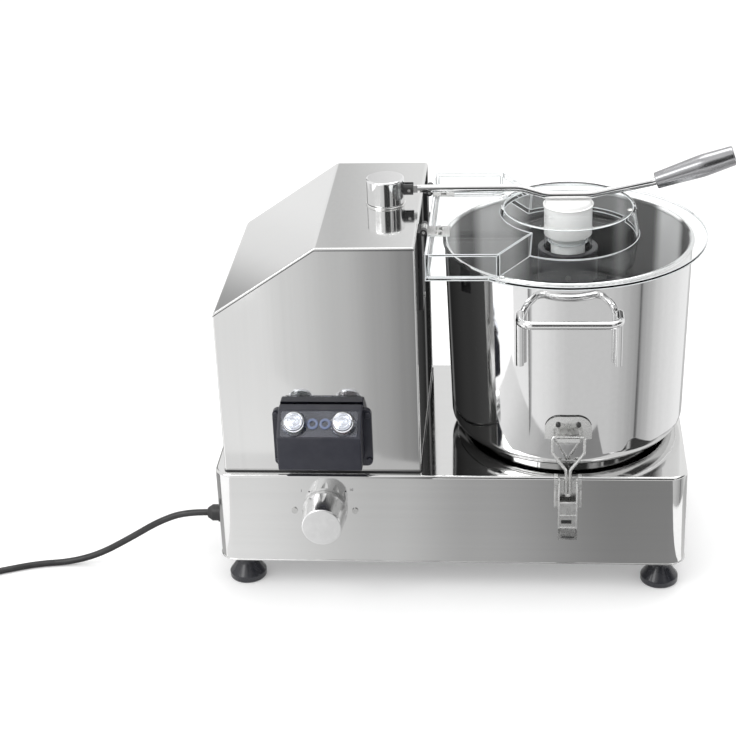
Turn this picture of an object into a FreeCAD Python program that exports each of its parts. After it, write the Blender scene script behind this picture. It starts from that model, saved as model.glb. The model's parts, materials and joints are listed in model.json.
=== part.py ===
import FreeCAD, Part
import math
import os
import re
import Sketcher

# Bowl cutter, millimetres, +Z up.
# X runs from the motor housing towards the bowl, Y from front to back.
# The origin is on the standing surface, below the middle of the machine.

SIZES = {
    # Base box
    "origin_from_left": 263.5, "base_margin": 8, "bowl_overlap": 0.2, "base_height": 102.7,
    "base_corner": 18, "fold_radius": 3, "sheet_wall": 1.5, "bottom_plate": 3,
    "fit_gap": 0.05, "loose_gap": 0.3,
    # Feet
    "foot_height": 35, "foot_neck": 9.5, "foot_flare": 19.5, "foot_rim": 7, "foot_waist": 21,
    "foot_inset_side": 24, "foot_inset_front": 28, "foot_bolt": 4,
    # Motor housing
    "housing_inset": 11.4, "housing_length": 202, "housing_setback": 8, "shoulder_drop": 69.4,
    "slope_run": 104.1,
    "vent_width": 5, "vent_height": 46, "vent_pitch": 13, "vent_count": 8, "vent_rise": 62,
    # Switch box
    "switch_from_left": 115, "switch_low": 21.3, "switch_width": 84.4, "switch_front": 37,
    "switch_face": 37, "switch_slope_run": 22, "switch_slope_rise": 21, "switch_wall": 2.2,
    "flange_width": 100.3, "flange_height": 64, "flange_low": 9.3, "flange_plate": 3,
    "flange_corner": 6, "flange_screw": 2.6, "switch_neck_width": 70, "switch_neck_height": 30,
    # Push buttons
    "button_radius": 11, "button_pitch": 49, "button_rise": 4, "button_travel": 3,
    "button_stem": 7, "cover_radius": 13.2, "cover_wall": 1, "cover_sheet": 1.4,
    # Speed knob
    "knob_from_left": 113.7, "knob_drop": 41.2, "knob_back": 23.4, "knob_nose": 20.4,
    "knob_length": 34, "knob_collar": 5, "knob_grip": 5.5, "knob_grip_count": 12,
    "knob_spindle": 3, "pot_radius": 12, "pot_length": 14, "pot_bush": 4.5,
    "panel_screw": 3.2, "panel_screw_pitch": 62.7, "screw_head": 1.6,
    # Motor
    "motor_from_left": 100.6, "motor_radius": 62, "motor_headroom": 97.1, "motor_flange": 78,
    "motor_plate": 10, "motor_fin": 5, "motor_fin_count": 24, "fan_cowl": 34,
    "motor_shaft": 7, "motor_shaft_drop": 74,
    # Belt drive
    "pulley_radius": 24, "pulley_width": 16, "pulley_flange": 2, "pulley_rim": 3,
    "belt_thick": 3.5, "belt_level": 31,
    # Bowl
    "bowl_gap": 22.8, "bowl_lift": 4.5, "bowl_height": 203.4, "bowl_low_radius": 121,
    "bowl_rim_radius": 126, "bowl_wall": 1.8, "bowl_corner": 16, "rim_bead": 2.6,
    "bowl_ring": 96, "bowl_tube": 22.5, "bowl_tube_height": 92,
    # Shaft and bearings
    "shaft_radius": 8.5, "shaft_drop": 12, "tower_radius": 19.7, "tower_lift": 69.8,
    "tower_flange": 46, "tower_plate": 8, "tower_drop": 36, "bearing_radius": 17.5,
    "bearing_width": 10,
    # Blade hub
    "hub_sleeve": 26, "hub_clear": 0.8, "hub_lift": 15.8, "hub_height": 34, "hub_drop": 8.6,
    "hub_radius": 30.5, "hub_bore": 25, "hub_floor": 13, "hub_screw": 3,
    "blade_clear": 7, "blade_root": 32, "blade_thick": 3, "blade_ledge": 3,
    "blade_gap": 46, "blade_bow": 78, "blade_hollow": 116, "bevel_run": 7, "edge_land": 0.4,
    # Bowl handles
    "handle_rod": 4.1, "handle_width": 96, "handle_level": 177, "handle_leg": 60,
    "handle_reach": 35, "handle_bend": 12,
    # Catch on the bowl
    "catch_plate": 2, "catch_low": 36, "catch_height": 26, "catch_width": 47,
    "catch_arch": 15, "shelf_low": 39.3, "shelf_thick": 3, "shelf_width": 22, "lip_height": 3,
    "lip_thick": 1.8, "rivet_pitch": 20.4, "rivet_radius": 2.6, "rivet_rise": 53,
    # Latch on the base
    "latch_stand": 5.6, "latch_pivot": 0.7, "latch_crank": 17, "latch_width": 27.3,
    "latch_plate": 1.5, "latch_ear": 3.5, "latch_plate_low": 34, "latch_plate_top": 5.5,
    "pivot_pin": 1.5, "lever_width": 19.2, "lever_wall": 1.5, "lever_depth": 4.9,
    "lever_web": 22, "lever_length": 63, "lever_lip": 5, "lever_head": 3.6,
    "bail_wire": 1.5, "bail_half": 16, "bail_narrow": 5.6,
    "bail_wide_from": 51, "bail_narrow_from": 32, "bail_bend": 4, "bail_play": 1.3,
    # Lid
    "lid_brim": 14, "lid_sheet": 3, "lid_gap": 0.3, "lid_box_height": 26,
    "lid_box_half": 113, "lid_stand": 9.4, "lid_box_run": 72, "lid_waist_run": 101,
    "lid_waist_half": 62, "plateau_radius": 68, "plateau_height": 33.5, "plateau_draft": 8,
    "lid_wall": 3, "sleeve_radius": 20, "sleeve_wall": 2.2,
    "sleeve_drop": 38,
    # Cap in the lid
    "cap_radius": 23.7, "cap_height": 5.5, "cap_edge": 3.2, "cap_stem": 14, "cap_drop": 54,
    # Lid hinges
    "hinge_stand": 5.6, "hinge_rise": 4, "hinge_barrel": 3.4, "hinge_pin": 1.6,
    "hinge_width": 24, "hinge_knuckle": 11.4, "hinge_offset": 55, "hinge_leaf": 2,
    "hinge_leaf_run": 22, "bracket_plate": 3.6, "bracket_height": 84,
    # Arm over the lid
    "arm_setback": 36.4, "head_radius": 19.5, "head_height": 26, "head_seat": 1.4,
    "head_edge": 2, "arm_pin": 7, "arm_bush": 12, "arm_bush_drop": 30, "arm_level": 15.2,
    "knuckle_radius": 6.5, "knuckle_length": 9, "knuckle_slot": 5, "lift_pin": 1.6,
    "arm_rod": 4, "rod_clear": 0.5, "arm_dip": 8, "arm_dip_lead": 0.75, "arm_dip_run": 26,
    "arm_flat": 44,
    "arm_rise": 13.3, "arm_rise_run": 62, "arm_bend": 40,
    "grip_length": 81, "grip_small": 8.3, "grip_large": 11.4, "grip_end": 9.8,
    "grip_tilt": 19,
    # Mains cord
    "gland_from_front": 45, "gland_level": 31, "gland_nut": 10, "gland_body": 8,
    "gland_length": 18, "gland_nut_length": 6, "gland_thread": 12, "cord_radius": 3.5,
    "coil_radius": 40, "plug_radius": 18, "plug_relief": 14, "plug_body": 34, "plug_pitch": 19,
    "plug_pin": 2.4, "plug_pin_length": 19,
}

PLACES = {
    "base_left": "-origin_from_left",
    "bowl_from_left": "housing_inset + housing_length + bowl_gap + bowl_rim_radius",
    "base_length": "bowl_from_left + bowl_low_radius - bowl_overlap",
    "base_depth": "2 * (bowl_low_radius + base_margin)",
    "base_right": "base_left + base_length",
    "base_front": "-base_depth / 2",
    "base_top": "foot_height + base_height",
    "housing_left": "base_left + housing_inset",
    "housing_right": "housing_left + housing_length",
    "housing_depth": "base_depth - 2 * housing_setback",
    "housing_front": "-housing_depth / 2",
    "housing_top": "rod_level - arm_level",
    "housing_height": "housing_top - base_top",
    "shoulder_top": "housing_top - shoulder_drop",
    "slope_tangent": "shoulder_drop / slope_run",
    "slope_stretch": "sqrt(1 + slope_tangent ^ 2)",
    "switch_axis": "base_left + switch_from_left",
    "switch_bottom": "base_top + switch_low",
    "switch_back": "housing_front - flange_plate",
    "switch_nose": "housing_front - switch_front",
    "switch_knee": "switch_bottom + switch_face",
    "switch_top": "switch_knee + switch_slope_rise",
    "switch_tilt": "atan(switch_slope_rise / switch_slope_run)",
    "panel_y": "switch_nose + switch_slope_run / 2",
    "panel_z": "switch_knee + switch_slope_rise / 2",
    "knob_axis": "base_left + knob_from_left",
    "knob_level": "base_top - knob_drop",
    "motor_axis": "housing_left + motor_from_left",
    "motor_length": "housing_height - motor_headroom",
    "bowl_axis": "base_left + bowl_from_left",
    "bowl_bottom": "base_top + bowl_lift",
    "bowl_top": "bowl_bottom + bowl_height",
    "bowl_flare": "(bowl_rim_radius - bowl_low_radius) / bowl_height",
    "blade_reach": "bowl_low_radius - blade_clear",
    "blade_heel": "blade_root * 0.8",
    "edge_rise": "sqrt(blade_bow ^ 2 / (blade_reach ^ 2 + blade_heel ^ 2) - 0.25)",
    "edge_centre_x": "blade_reach / 2 - blade_heel * edge_rise",
    "edge_centre_y": "blade_reach * edge_rise - blade_heel / 2",
    "tower_bottom": "base_top - sheet_wall - tower_drop",
    "tower_top": "bowl_bottom + tower_lift",
    "belt_bottom": "foot_height + belt_level",
    "hub_low": "bowl_bottom + hub_lift",
    "blade_low": "hub_low + blade_ledge",
    "hub_top": "bowl_top - hub_drop",
    "hub_step": "hub_top - hub_height",
    "shaft_top": "hub_top - shaft_drop",
    "screw_level": "hub_step + hub_floor / 2 + hub_screw",
    "latch_plane": "base_front - latch_stand",
    "pivot_level": "base_top - latch_pivot",
    "crank_level": "pivot_level - latch_crank",
    "shelf_top": "bowl_bottom + shelf_low + shelf_thick",
    "bail_bar": "shelf_top + loose_gap + bail_wire",
    "lid_bottom": "bowl_top + rim_bead + lid_gap",
    "lid_radius": "bowl_rim_radius + lid_brim",
    "lid_reach": "bowl_rim_radius + bowl_gap - lid_stand",
    "lid_left": "-lid_reach",
    "box_top": "lid_bottom + lid_box_height",
    "plateau_top": "lid_bottom + plateau_height",
    "cap_top": "plateau_top + cap_height",
    "hinge_axis": "housing_right + hinge_stand",
    "hinge_level": "box_top + hinge_rise",
    "arm_axis": "housing_right - arm_setback",
    "seat_top": "housing_top + head_seat",
    "head_bottom": "seat_top + loose_gap",
    "rod_level": "cap_top + rod_clear + arm_rod + arm_dip",
    "knuckle_start": "arm_axis + head_radius",
    "lift_axis": "knuckle_start + knuckle_length * 0.55",
    "arm_first": "bowl_axis - lift_axis - arm_dip_run - arm_flat / 2 - arm_dip_lead",
    "gland_y": "base_front + gland_from_front",
    "gland_z": "foot_height + gland_level",
}

doc = FreeCAD.newDocument("bowl_cutter")
sheet = doc.addObject("Spreadsheet::Sheet", "sizes")
for row, (alias, number) in enumerate(SIZES.items(), start=1):
    sheet.set(f"A{row}", alias)
    sheet.set(f"B{row}", str(number))
    sheet.setAlias(f"B{row}", alias)
doc.recompute()

WORD = re.compile(r"[a-z][a-z_]*[a-z]")
NODES = []


def bind(text):
    """Expression over the sheet's cells for a text of named sizes and places."""
    def cell(hit):
        word = hit.group()
        if word in PLACES:
            return "(" + bind(PLACES[word]) + ")"
        return "sizes." + word if word in SIZES else word
    return WORD.sub(cell, str(text))


def value(text):
    """Present number of a text of named sizes and places."""
    result = sheet.evalExpression(bind(text))
    return float(getattr(result, "Value", result))


def keep(item):
    """Note a finished piece; its label names its file."""
    NODES.append(item)
    return item


def new_body(label):
    """Empty body for one piece."""
    body = doc.addObject("PartDesign::Body", label)
    body.Label = label
    return body


def place(item, x="0", y="0", z="0", axis=None, angle="0"):
    """Bind an object's position, and its turn about an axis when one is given."""
    if axis:
        item.Placement = FreeCAD.Placement(FreeCAD.Vector(), FreeCAD.Rotation(axis, value(angle)))
        item.setExpression("Placement.Rotation.Angle", bind(angle))
    for side, text in (("x", x), ("y", y), ("z", z)):
        item.setExpression(f"Placement.Base.{side}", bind(text))
    return item


def sketch_on(body, role, lift="0"):
    """Sketch on one of the body's origin planes, lifted along the plane's normal."""
    sketch = body.newObject("Sketcher::SketchObject", body.Label + "_sketch")
    support = next(f for f in body.Origin.OriginFeatures if f.Role == role)
    sketch.AttachmentSupport = [(support, "")]
    sketch.MapMode = "FlatFace"
    sketch.setExpression("AttachmentOffset.Base.z", bind(lift))
    return sketch


def locate(sketch, geometry, point, corner):
    """Bind a sketch point's two coordinates."""
    for kind, text in (("DistanceX", corner[0]), ("DistanceY", corner[1])):
        index = sketch.addConstraint(Sketcher.Constraint(kind, -1, 1, geometry, point, value(text)))
        sketch.setExpression(f"Constraints[{index}]", bind(text))


def bind_radius(sketch, geometry, text):
    """Bind the radius of a sketch circle or arc."""
    index = sketch.addConstraint(Sketcher.Constraint("Radius", geometry, value(text)))
    sketch.setExpression(f"Constraints[{index}]", bind(text))


def circle(sketch, x, y, radius):
    """Circle with a bound centre and radius."""
    centre = FreeCAD.Vector(value(x), value(y), 0)
    item = sketch.addGeometry(Part.Circle(centre, FreeCAD.Vector(0, 0, 1), value(radius)), False)
    locate(sketch, item, 3, (x, y))
    bind_radius(sketch, item, radius)


def arc_between(start, end, centre):
    """Arc about a centre from start to end, and whether it runs against the clock."""
    first = math.atan2(start.y - centre.y, start.x - centre.x)
    last = math.atan2(end.y - centre.y, end.x - centre.x)
    return Part.ArcOfCircle(Part.Circle(centre, FreeCAD.Vector(0, 0, 1), (start - centre).Length),
                            first, last)


def chain(sketch, corners, closed=True):
    """Lines through the corners, (x, y) or (x, y, radius), with tangent arcs at the round ones."""
    points = [FreeCAD.Vector(value(c[0]), value(c[1]), 0) for c in corners]
    count = len(points)
    starts, ends, arcs = list(points), list(points), {}
    for i, corner in enumerate(corners):
        if len(corner) < 3:
            continue
        before = (points[i] - points[i - 1]).normalize()
        after = (points[(i + 1) % count] - points[i]).normalize()
        turn = before.getAngle(after)
        left = before.cross(after).z > 0
        run = value(corner[2]) * math.tan(turn / 2)
        ends[i] = points[i] - before * run
        starts[i] = points[i] + after * run
        inward = FreeCAD.Vector(-before.y, before.x, 0) * (1 if left else -1)
        centre = ends[i] + inward * value(corner[2])
        pair = (ends[i], starts[i]) if left else (starts[i], ends[i])
        arcs[i] = (arc_between(*pair, centre), left)
    spans = count if closed else count - 1
    lines = [sketch.addGeometry(Part.LineSegment(starts[i], ends[(i + 1) % count]),
                                False) for i in range(spans)]
    for i, corner in enumerate(corners):
        at_start = not closed and i == 0
        at_end = not closed and i == count - 1
        if at_start or at_end:
            locate(sketch, lines[0] if at_start else lines[-1], 1 if at_start else 2, corner)
        elif i in arcs:
            shape, left = arcs[i]
            item = sketch.addGeometry(shape, False)
            entry, leave = (1, 2) if left else (2, 1)
            tip = sketch.addGeometry(Part.Point(points[i]), True)
            sketch.addConstraint([
                Sketcher.Constraint("Tangent", lines[i - 1], 2, item, entry),
                Sketcher.Constraint("Tangent", item, leave, lines[i], 1),
                Sketcher.Constraint("PointOnObject", tip, 1, lines[i - 1]),
                Sketcher.Constraint("PointOnObject", tip, 1, lines[i]),
            ])
            bind_radius(sketch, item, corner[2])
            locate(sketch, tip, 1, corner)
        else:
            sketch.addConstraint(Sketcher.Constraint("Coincident", lines[i - 1], 2, lines[i], 1))
            locate(sketch, lines[i], 1, corner)


def rectangle(sketch, left, low, right, high, radius=None):
    """Rectangle from its sides, with round corners when a radius is given."""
    corners = [(left, low), (right, low), (right, high), (left, high)]
    chain(sketch, [c + (radius,) if radius else c for c in corners])


def volume(body):
    """Volume of a body as it stands."""
    doc.recompute()
    return body.Shape.Volume if body.Tip else 0


def pad(body, sketch, length, reverse=False, both=False, taper=None):
    """Add the sketch's area, pulled along its normal."""
    feature = body.newObject("PartDesign::Pad", body.Label + "_pad")
    feature.Profile = sketch
    feature.Reversed = reverse
    feature.Midplane = both
    feature.setExpression("Length", bind(length))
    if taper:
        feature.setExpression("TaperAngle", bind(taper))
    doc.recompute()
    return feature


def cut(body, sketch, depth=None, reverse=False, both=False):
    """Remove the sketch's area to a depth, or through everything; it has to remove something."""
    before = volume(body)
    feature = body.newObject("PartDesign::Pocket", body.Label + "_pocket")
    feature.Profile = sketch
    feature.Reversed = reverse
    feature.Midplane = both
    if depth:
        feature.setExpression("Length", bind(depth))
    else:
        feature.Type = "ThroughAll"
    if volume(body) >= before - 1e-6:
        raise ValueError(body.Label + ": a pocket removes nothing")
    return feature


def spin(body, sketch, remove=False, angle="360"):
    """Turn the sketch about its upright axis, to add or to remove."""
    before = volume(body)
    kind = "PartDesign::Groove" if remove else "PartDesign::Revolution"
    feature = body.newObject(kind, body.Label + "_turn")
    feature.Profile = sketch
    feature.ReferenceAxis = (sketch, ["V_Axis"])
    feature.setExpression("Angle", bind(angle))
    if remove and volume(body) >= before - 1e-6:
        raise ValueError(body.Label + ": a groove removes nothing")
    doc.recompute()
    return feature


def polar(body, features, count):
    """Repeat features round the body's upright axis."""
    pattern = body.newObject("PartDesign::PolarPattern", body.Label + "_ring")
    pattern.Originals = features
    pattern.Axis = (next(f for f in body.Origin.OriginFeatures if f.Role == "Z_Axis"), [""])
    pattern.Angle = 360
    pattern.setExpression("Occurrences", bind(count))
    body.Tip = pattern
    doc.recompute()
    return pattern


def round_edges(body, test, radius, kind="PartDesign::Fillet"):
    """Fillet or chamfer every edge of the body that the test picks."""
    doc.recompute()
    base = body.Tip
    names = [f"Edge{i}" for i, edge in enumerate(base.Shape.Edges, start=1) if test(edge)]
    feature = body.newObject(kind, body.Label + "_edges")
    feature.Base = (base, names)
    feature.setExpression("Radius" if kind.endswith("Fillet") else "Size", bind(radius))
    doc.recompute()
    return feature


def near(number, text, slack=1e-4):
    """True where a coordinate lies at a named place."""
    return abs(number - value(text)) < slack


def all_at(edge, side, text):
    """True where a whole edge lies at one coordinate."""
    box = edge.BoundBox
    return near(getattr(box, side + "Min"), text) and near(getattr(box, side + "Max"), text)


def turned(label, profile):
    """Piece turned about its own upright axis from (radius, height) corners."""
    body = new_body(label)
    sketch = sketch_on(body, "XZ_Plane")
    chain(sketch, profile)
    spin(body, sketch)
    return body


def cylinder(label, radius, height, x="0", y="0", z="0", axis=None, angle="0"):
    """Plain round rod."""
    item = doc.addObject("Part::Cylinder", label)
    item.Label = label
    item.setExpression("Radius", bind(radius))
    item.setExpression("Height", bind(height))
    return place(item, x, y, z, axis, angle)


def block(label, length, width, height, x, y, z):
    """Plain block from its lowest corner."""
    item = doc.addObject("Part::Box", label)
    item.Label = label
    for side, text in (("Length", length), ("Width", width), ("Height", height)):
        item.setExpression(side, bind(text))
    return place(item, x, y, z)


def fused(label, items):
    """Join objects into one solid."""
    item = doc.addObject("Part::MultiFuse", label)
    item.Label = label
    item.Shapes = items
    return item


def group(label, items):
    """Hold like pieces together as separate solids."""
    item = doc.addObject("Part::Compound", label)
    item.Label = label
    item.Links = items
    return item


def less(label, base, tool):
    """Cut one object from another."""
    item = doc.addObject("Part::Cut", label)
    item.Label = label
    item.Base = base
    item.Tool = tool
    return item


def bent_wire(points, radii):
    """Straight runs joined by tangent arcs through the route's corners."""
    edges, start = [], points[0]
    for before, corner, after, radius in zip(points, points[1:], points[2:], radii):
        back = (before - corner).normalize()
        ahead = (after - corner).normalize()
        half = back.getAngle(ahead) / 2
        run = radius / math.tan(half)
        middle = (back + ahead).normalize() * (radius / math.sin(half) - radius)
        entry, leave = corner + back * run, corner + ahead * run
        edges.append(Part.LineSegment(start, entry).toShape())
        edges.append(Part.Arc(entry, corner + middle, leave).toShape())
        start = leave
    edges.append(Part.LineSegment(start, points[-1]).toShape())
    return Part.Wire(edges)


def swept(path, radius):
    """Round rod along a wire."""
    heading = path.Edges[0].tangentAt(path.Edges[0].FirstParameter)
    ring = Part.Wire(Part.makeCircle(radius, path.Edges[0].Vertexes[0].Point, heading))
    return path.makePipeShell([ring], True, False)


def feature(label, shape):
    """Piece that holds a ready shape."""
    item = doc.addObject("Part::Feature", label)
    item.Label = label
    item.Shape = shape
    return item


X_AXIS = FreeCAD.Vector(1, 0, 0)
Y_AXIS = FreeCAD.Vector(0, 1, 0)
Z_AXIS = FreeCAD.Vector(0, 0, 1)


# Base box and feet
def make_base():
    shell = new_body("base_shell")
    sketch = sketch_on(shell, "XY_Plane", "foot_height")
    rectangle(sketch, "base_left", "base_front", "base_right", "-base_front", "base_corner")
    pad(shell, sketch, "base_height")
    round_edges(shell, lambda edge: all_at(edge, "Z", "base_top"), "fold_radius")
    sketch = sketch_on(shell, "XY_Plane", "foot_height")
    rectangle(sketch, "base_left + sheet_wall", "base_front + sheet_wall", "base_right - sheet_wall",
              "-base_front - sheet_wall", "base_corner - sheet_wall")
    cut(shell, sketch, "base_height - sheet_wall", reverse=True)
    sketch = sketch_on(shell, "XY_Plane", "base_top")
    circle(sketch, "bowl_axis", "0", "tower_radius + loose_gap")
    circle(sketch, "motor_axis", "0", "motor_shaft * 2")
    cut(shell, sketch, "base_height / 2")
    sketch = sketch_on(shell, "XZ_Plane", "-base_front")
    circle(sketch, "knob_axis", "knob_level", "pot_bush + fit_gap")
    cut(shell, sketch, "sheet_wall * 2")
    sketch = sketch_on(shell, "YZ_Plane", "base_left")
    circle(sketch, "gland_y", "gland_z", "gland_body + fit_gap")
    cut(shell, sketch, "sheet_wall * 2", reverse=True)
    keep(shell)

    plate = new_body("bottom_plate")
    sketch = sketch_on(plate, "XY_Plane", "foot_height")
    inset = "(sheet_wall + loose_gap)"
    rectangle(sketch, f"base_left + {inset}", f"base_front + {inset}", f"base_right - {inset}",
              f"-base_front - {inset}", f"base_corner - {inset}")
    pad(plate, sketch, "bottom_plate")
    keep(plate)

    for name, x, y in (("front_left", "base_left + foot_inset_side", "base_front + foot_inset_front"),
                       ("front_right", "base_right - foot_inset_side", "base_front + foot_inset_front"),
                       ("rear_left", "base_left + foot_inset_side", "-base_front - foot_inset_front"),
                       ("rear_right", "base_right - foot_inset_side",
                        "-base_front - foot_inset_front")):
        foot = turned("foot_" + name, [
            ("foot_bolt * 2", "0"), ("foot_flare", "0", "foot_rim / 3"), ("foot_flare", "foot_rim",
                                                                          "foot_rim / 3"),
            ("foot_neck", "foot_waist", "foot_waist / 2"), ("foot_neck", "foot_height"), ("0",
                                                                                          "foot_height"),
            ("0", "foot_rim * 2"), ("foot_bolt * 2", "foot_rim * 2")])
        keep(place(foot, x, y))


# Sheet cover over the motor
def make_housing():
    shell = new_body("housing_shell")
    sketch = sketch_on(shell, "XZ_Plane")
    chain(sketch, [("housing_left", "base_top"), ("housing_right", "base_top"),
                   ("housing_right", "housing_top", "fold_radius"),
                   ("housing_left + slope_run", "housing_top", "fold_radius * 2"),
                   ("housing_left", "shoulder_top", "fold_radius * 2")])
    pad(shell, sketch, "housing_depth", both=True)
    round_edges(shell, lambda edge: abs(abs(edge.BoundBox.YMin) - value("housing_depth / 2")) < 1e-4
                and edge.BoundBox.YLength < 1e-4 and edge.BoundBox.ZMax > value("base_top") + 1,
                "sheet_wall")
    sketch = sketch_on(shell, "XZ_Plane")
    wall = "sheet_wall"
    slope = f"{wall} * (slope_stretch - slope_tangent)"
    chain(sketch, [(f"housing_left + {wall}", "base_top"), (f"housing_right - {wall}", "base_top"),
                   (f"housing_right - {wall}", f"housing_top - {wall}", "fold_radius / 2"),
                   (f"housing_left + slope_run + {wall} * (slope_stretch - 1) / slope_tangent",
                    f"housing_top - {wall}"),
                   (f"housing_left + {wall}", f"shoulder_top - {slope}")])
    cut(shell, sketch, f"housing_depth - 2 * {wall}", both=True)
    sketch = sketch_on(shell, "XZ_Plane", "-housing_front")
    rectangle(sketch, "switch_axis - switch_neck_width / 2", "switch_bottom + fold_radius",
              "switch_axis + switch_neck_width / 2",
              "switch_bottom + fold_radius + switch_neck_height", "fold_radius")
    cut(shell, sketch, "sheet_wall * 2")
    sketch = sketch_on(shell, "XY_Plane", "housing_top")
    circle(sketch, "arm_axis", "0", "arm_bush + fit_gap")
    cut(shell, sketch, "sheet_wall * 2")
    sketch = sketch_on(shell, "XZ_Plane", "housing_front")
    rectangle(sketch, "motor_axis - vent_pitch * (vent_count - 1) / 2 - vent_width / 2",
              "base_top + vent_rise",
              "motor_axis - vent_pitch * (vent_count - 1) / 2 + vent_width / 2",
              "base_top + vent_rise + vent_height", "vent_width * 0.49")
    slot = cut(shell, sketch, "sheet_wall * 2", reverse=True)
    row = shell.newObject("PartDesign::LinearPattern", "vent_row")
    row.Originals = [slot]
    row.Direction = (sketch, ["H_Axis"])
    row.setExpression("Length", bind("vent_pitch * (vent_count - 1)"))
    row.setExpression("Occurrences", bind("vent_count"))
    shell.Tip = row
    doc.recompute()
    keep(shell)


# Switch box on the housing's front
def make_switch():
    plate = new_body("switch_flange")
    sketch = sketch_on(plate, "XZ_Plane", "-housing_front")
    rectangle(sketch, "switch_axis - flange_width / 2", "base_top + flange_low",
              "switch_axis + flange_width / 2",
              "base_top + flange_low + flange_height", "flange_corner")
    pad(plate, sketch, "flange_plate")
    sketch = sketch_on(plate, "XZ_Plane", "-switch_back")
    rectangle(sketch, "switch_axis - switch_neck_width / 2", "switch_bottom + fold_radius",
              "switch_axis + switch_neck_width / 2",
              "switch_bottom + fold_radius + switch_neck_height", "fold_radius")
    cut(plate, sketch, "flange_plate")
    keep(plate)

    box = new_body("switch_body")
    sketch = sketch_on(box, "YZ_Plane", "switch_axis")
    chain(sketch, [("switch_back", "switch_bottom"), ("switch_nose", "switch_bottom", "fold_radius"),
                   ("switch_nose", "switch_knee", "fold_radius"),
                   ("switch_nose + switch_slope_run", "switch_top", "fold_radius"),
                   ("switch_back", "switch_top")])
    pad(box, sketch, "switch_width", both=True)
    round_edges(box, lambda edge: edge.BoundBox.XLength < 1e-4
                and edge.BoundBox.YMax < value("switch_back") - 1e-4, "fold_radius / 2")
    sketch = sketch_on(box, "YZ_Plane", "switch_axis")
    wall = "switch_wall"
    fall = f"{wall} * tan(switch_tilt / 2)"
    chain(sketch, [("switch_back", f"switch_bottom + {wall}"),
                   (f"switch_nose + {wall}", f"switch_bottom + {wall}"),
                   (f"switch_nose + {wall}", f"switch_knee - {wall} * tan(45 deg - switch_tilt / 2)"),
                   (f"switch_nose + switch_slope_run + {fall}", f"switch_top - {wall}"),
                   ("switch_back", f"switch_top - {wall}")])
    cut(box, sketch, f"switch_width - 2 * {wall}", both=True)
    sketch = sketch_on(box, "XY_Plane")
    place_sketch(sketch)
    circle(sketch, "-button_pitch / 2", "0", "button_stem + loose_gap")
    circle(sketch, "button_pitch / 2", "0", "button_stem + loose_gap")
    cut(box, sketch, "switch_wall * 2.5")
    keep(box)

    for name, side in (("start", "-"), ("stop", "")):
        button = turned(name + "_button", [
            ("0", "-button_stem"), ("button_stem", "-button_stem"),
            ("button_stem", "button_travel + loose_gap"),
            ("button_radius", "button_travel + loose_gap"),
            ("button_radius", "button_travel + button_rise", "button_rise / 3"),
            ("0", "button_travel + button_rise")])
        keep(tilt(button, side + "button_pitch / 2"))

    cover = new_body("switch_cover")
    sketch = sketch_on(cover, "XY_Plane")
    rectangle(sketch, "-switch_width / 2 + fold_radius", "-cover_radius",
              "switch_width / 2 - fold_radius",
              "cover_radius", "fold_radius")
    pad(cover, sketch, "cover_sheet")
    height = "button_travel + button_rise + loose_gap * 2"
    sketch = sketch_on(cover, "XY_Plane")
    circle(sketch, "-button_pitch / 2", "0", "cover_radius")
    circle(sketch, "button_pitch / 2", "0", "cover_radius")
    pad(cover, sketch, f"{height} + cover_wall")
    round_edges(cover, lambda edge: edge.BoundBox.ZLength < 1e-4
                and near(edge.BoundBox.ZMax, f"{height} + cover_wall"), "cover_wall * 1.5")
    sketch = sketch_on(cover, "XY_Plane")
    circle(sketch, "-button_pitch / 2", "0", "cover_radius - cover_wall")
    circle(sketch, "button_pitch / 2", "0", "cover_radius - cover_wall")
    cut(cover, sketch, height, reverse=True)
    keep(tilt(cover, "0"))

    screws = []
    middle = "base_top + flange_low + flange_height / 2"
    for i, (x, z) in enumerate((x, z) for x in ("-1", "1") for z in ("-1", "1")):
        screws.append(cylinder(f"flange_screw_{i}", "flange_screw", "screw_head",
                               f"switch_axis + {x} * (flange_width / 2 - flange_corner / 1.6)", "switch_back",
                               f"{middle} + {z} * (flange_height / 2 - flange_corner)", X_AXIS, "90"))
    return screws


def place_sketch(sketch):
    """Put a sketch on the sloped panel of the switch box."""
    sketch.AttachmentOffset = FreeCAD.Placement(
        FreeCAD.Vector(), FreeCAD.Rotation(X_AXIS, value("switch_tilt")))
    sketch.setExpression("AttachmentOffset.Rotation.Angle", bind("switch_tilt"))
    sketch.setExpression("AttachmentOffset.Base.x", bind("switch_axis"))
    sketch.setExpression("AttachmentOffset.Base.y", bind("panel_y"))
    sketch.setExpression("AttachmentOffset.Base.z", bind("panel_z"))


def tilt(item, shift):
    """Seat a piece on the sloped panel, shifted along it."""
    return place(item, f"switch_axis + {shift}", "panel_y", "panel_z", X_AXIS, "switch_tilt")


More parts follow.
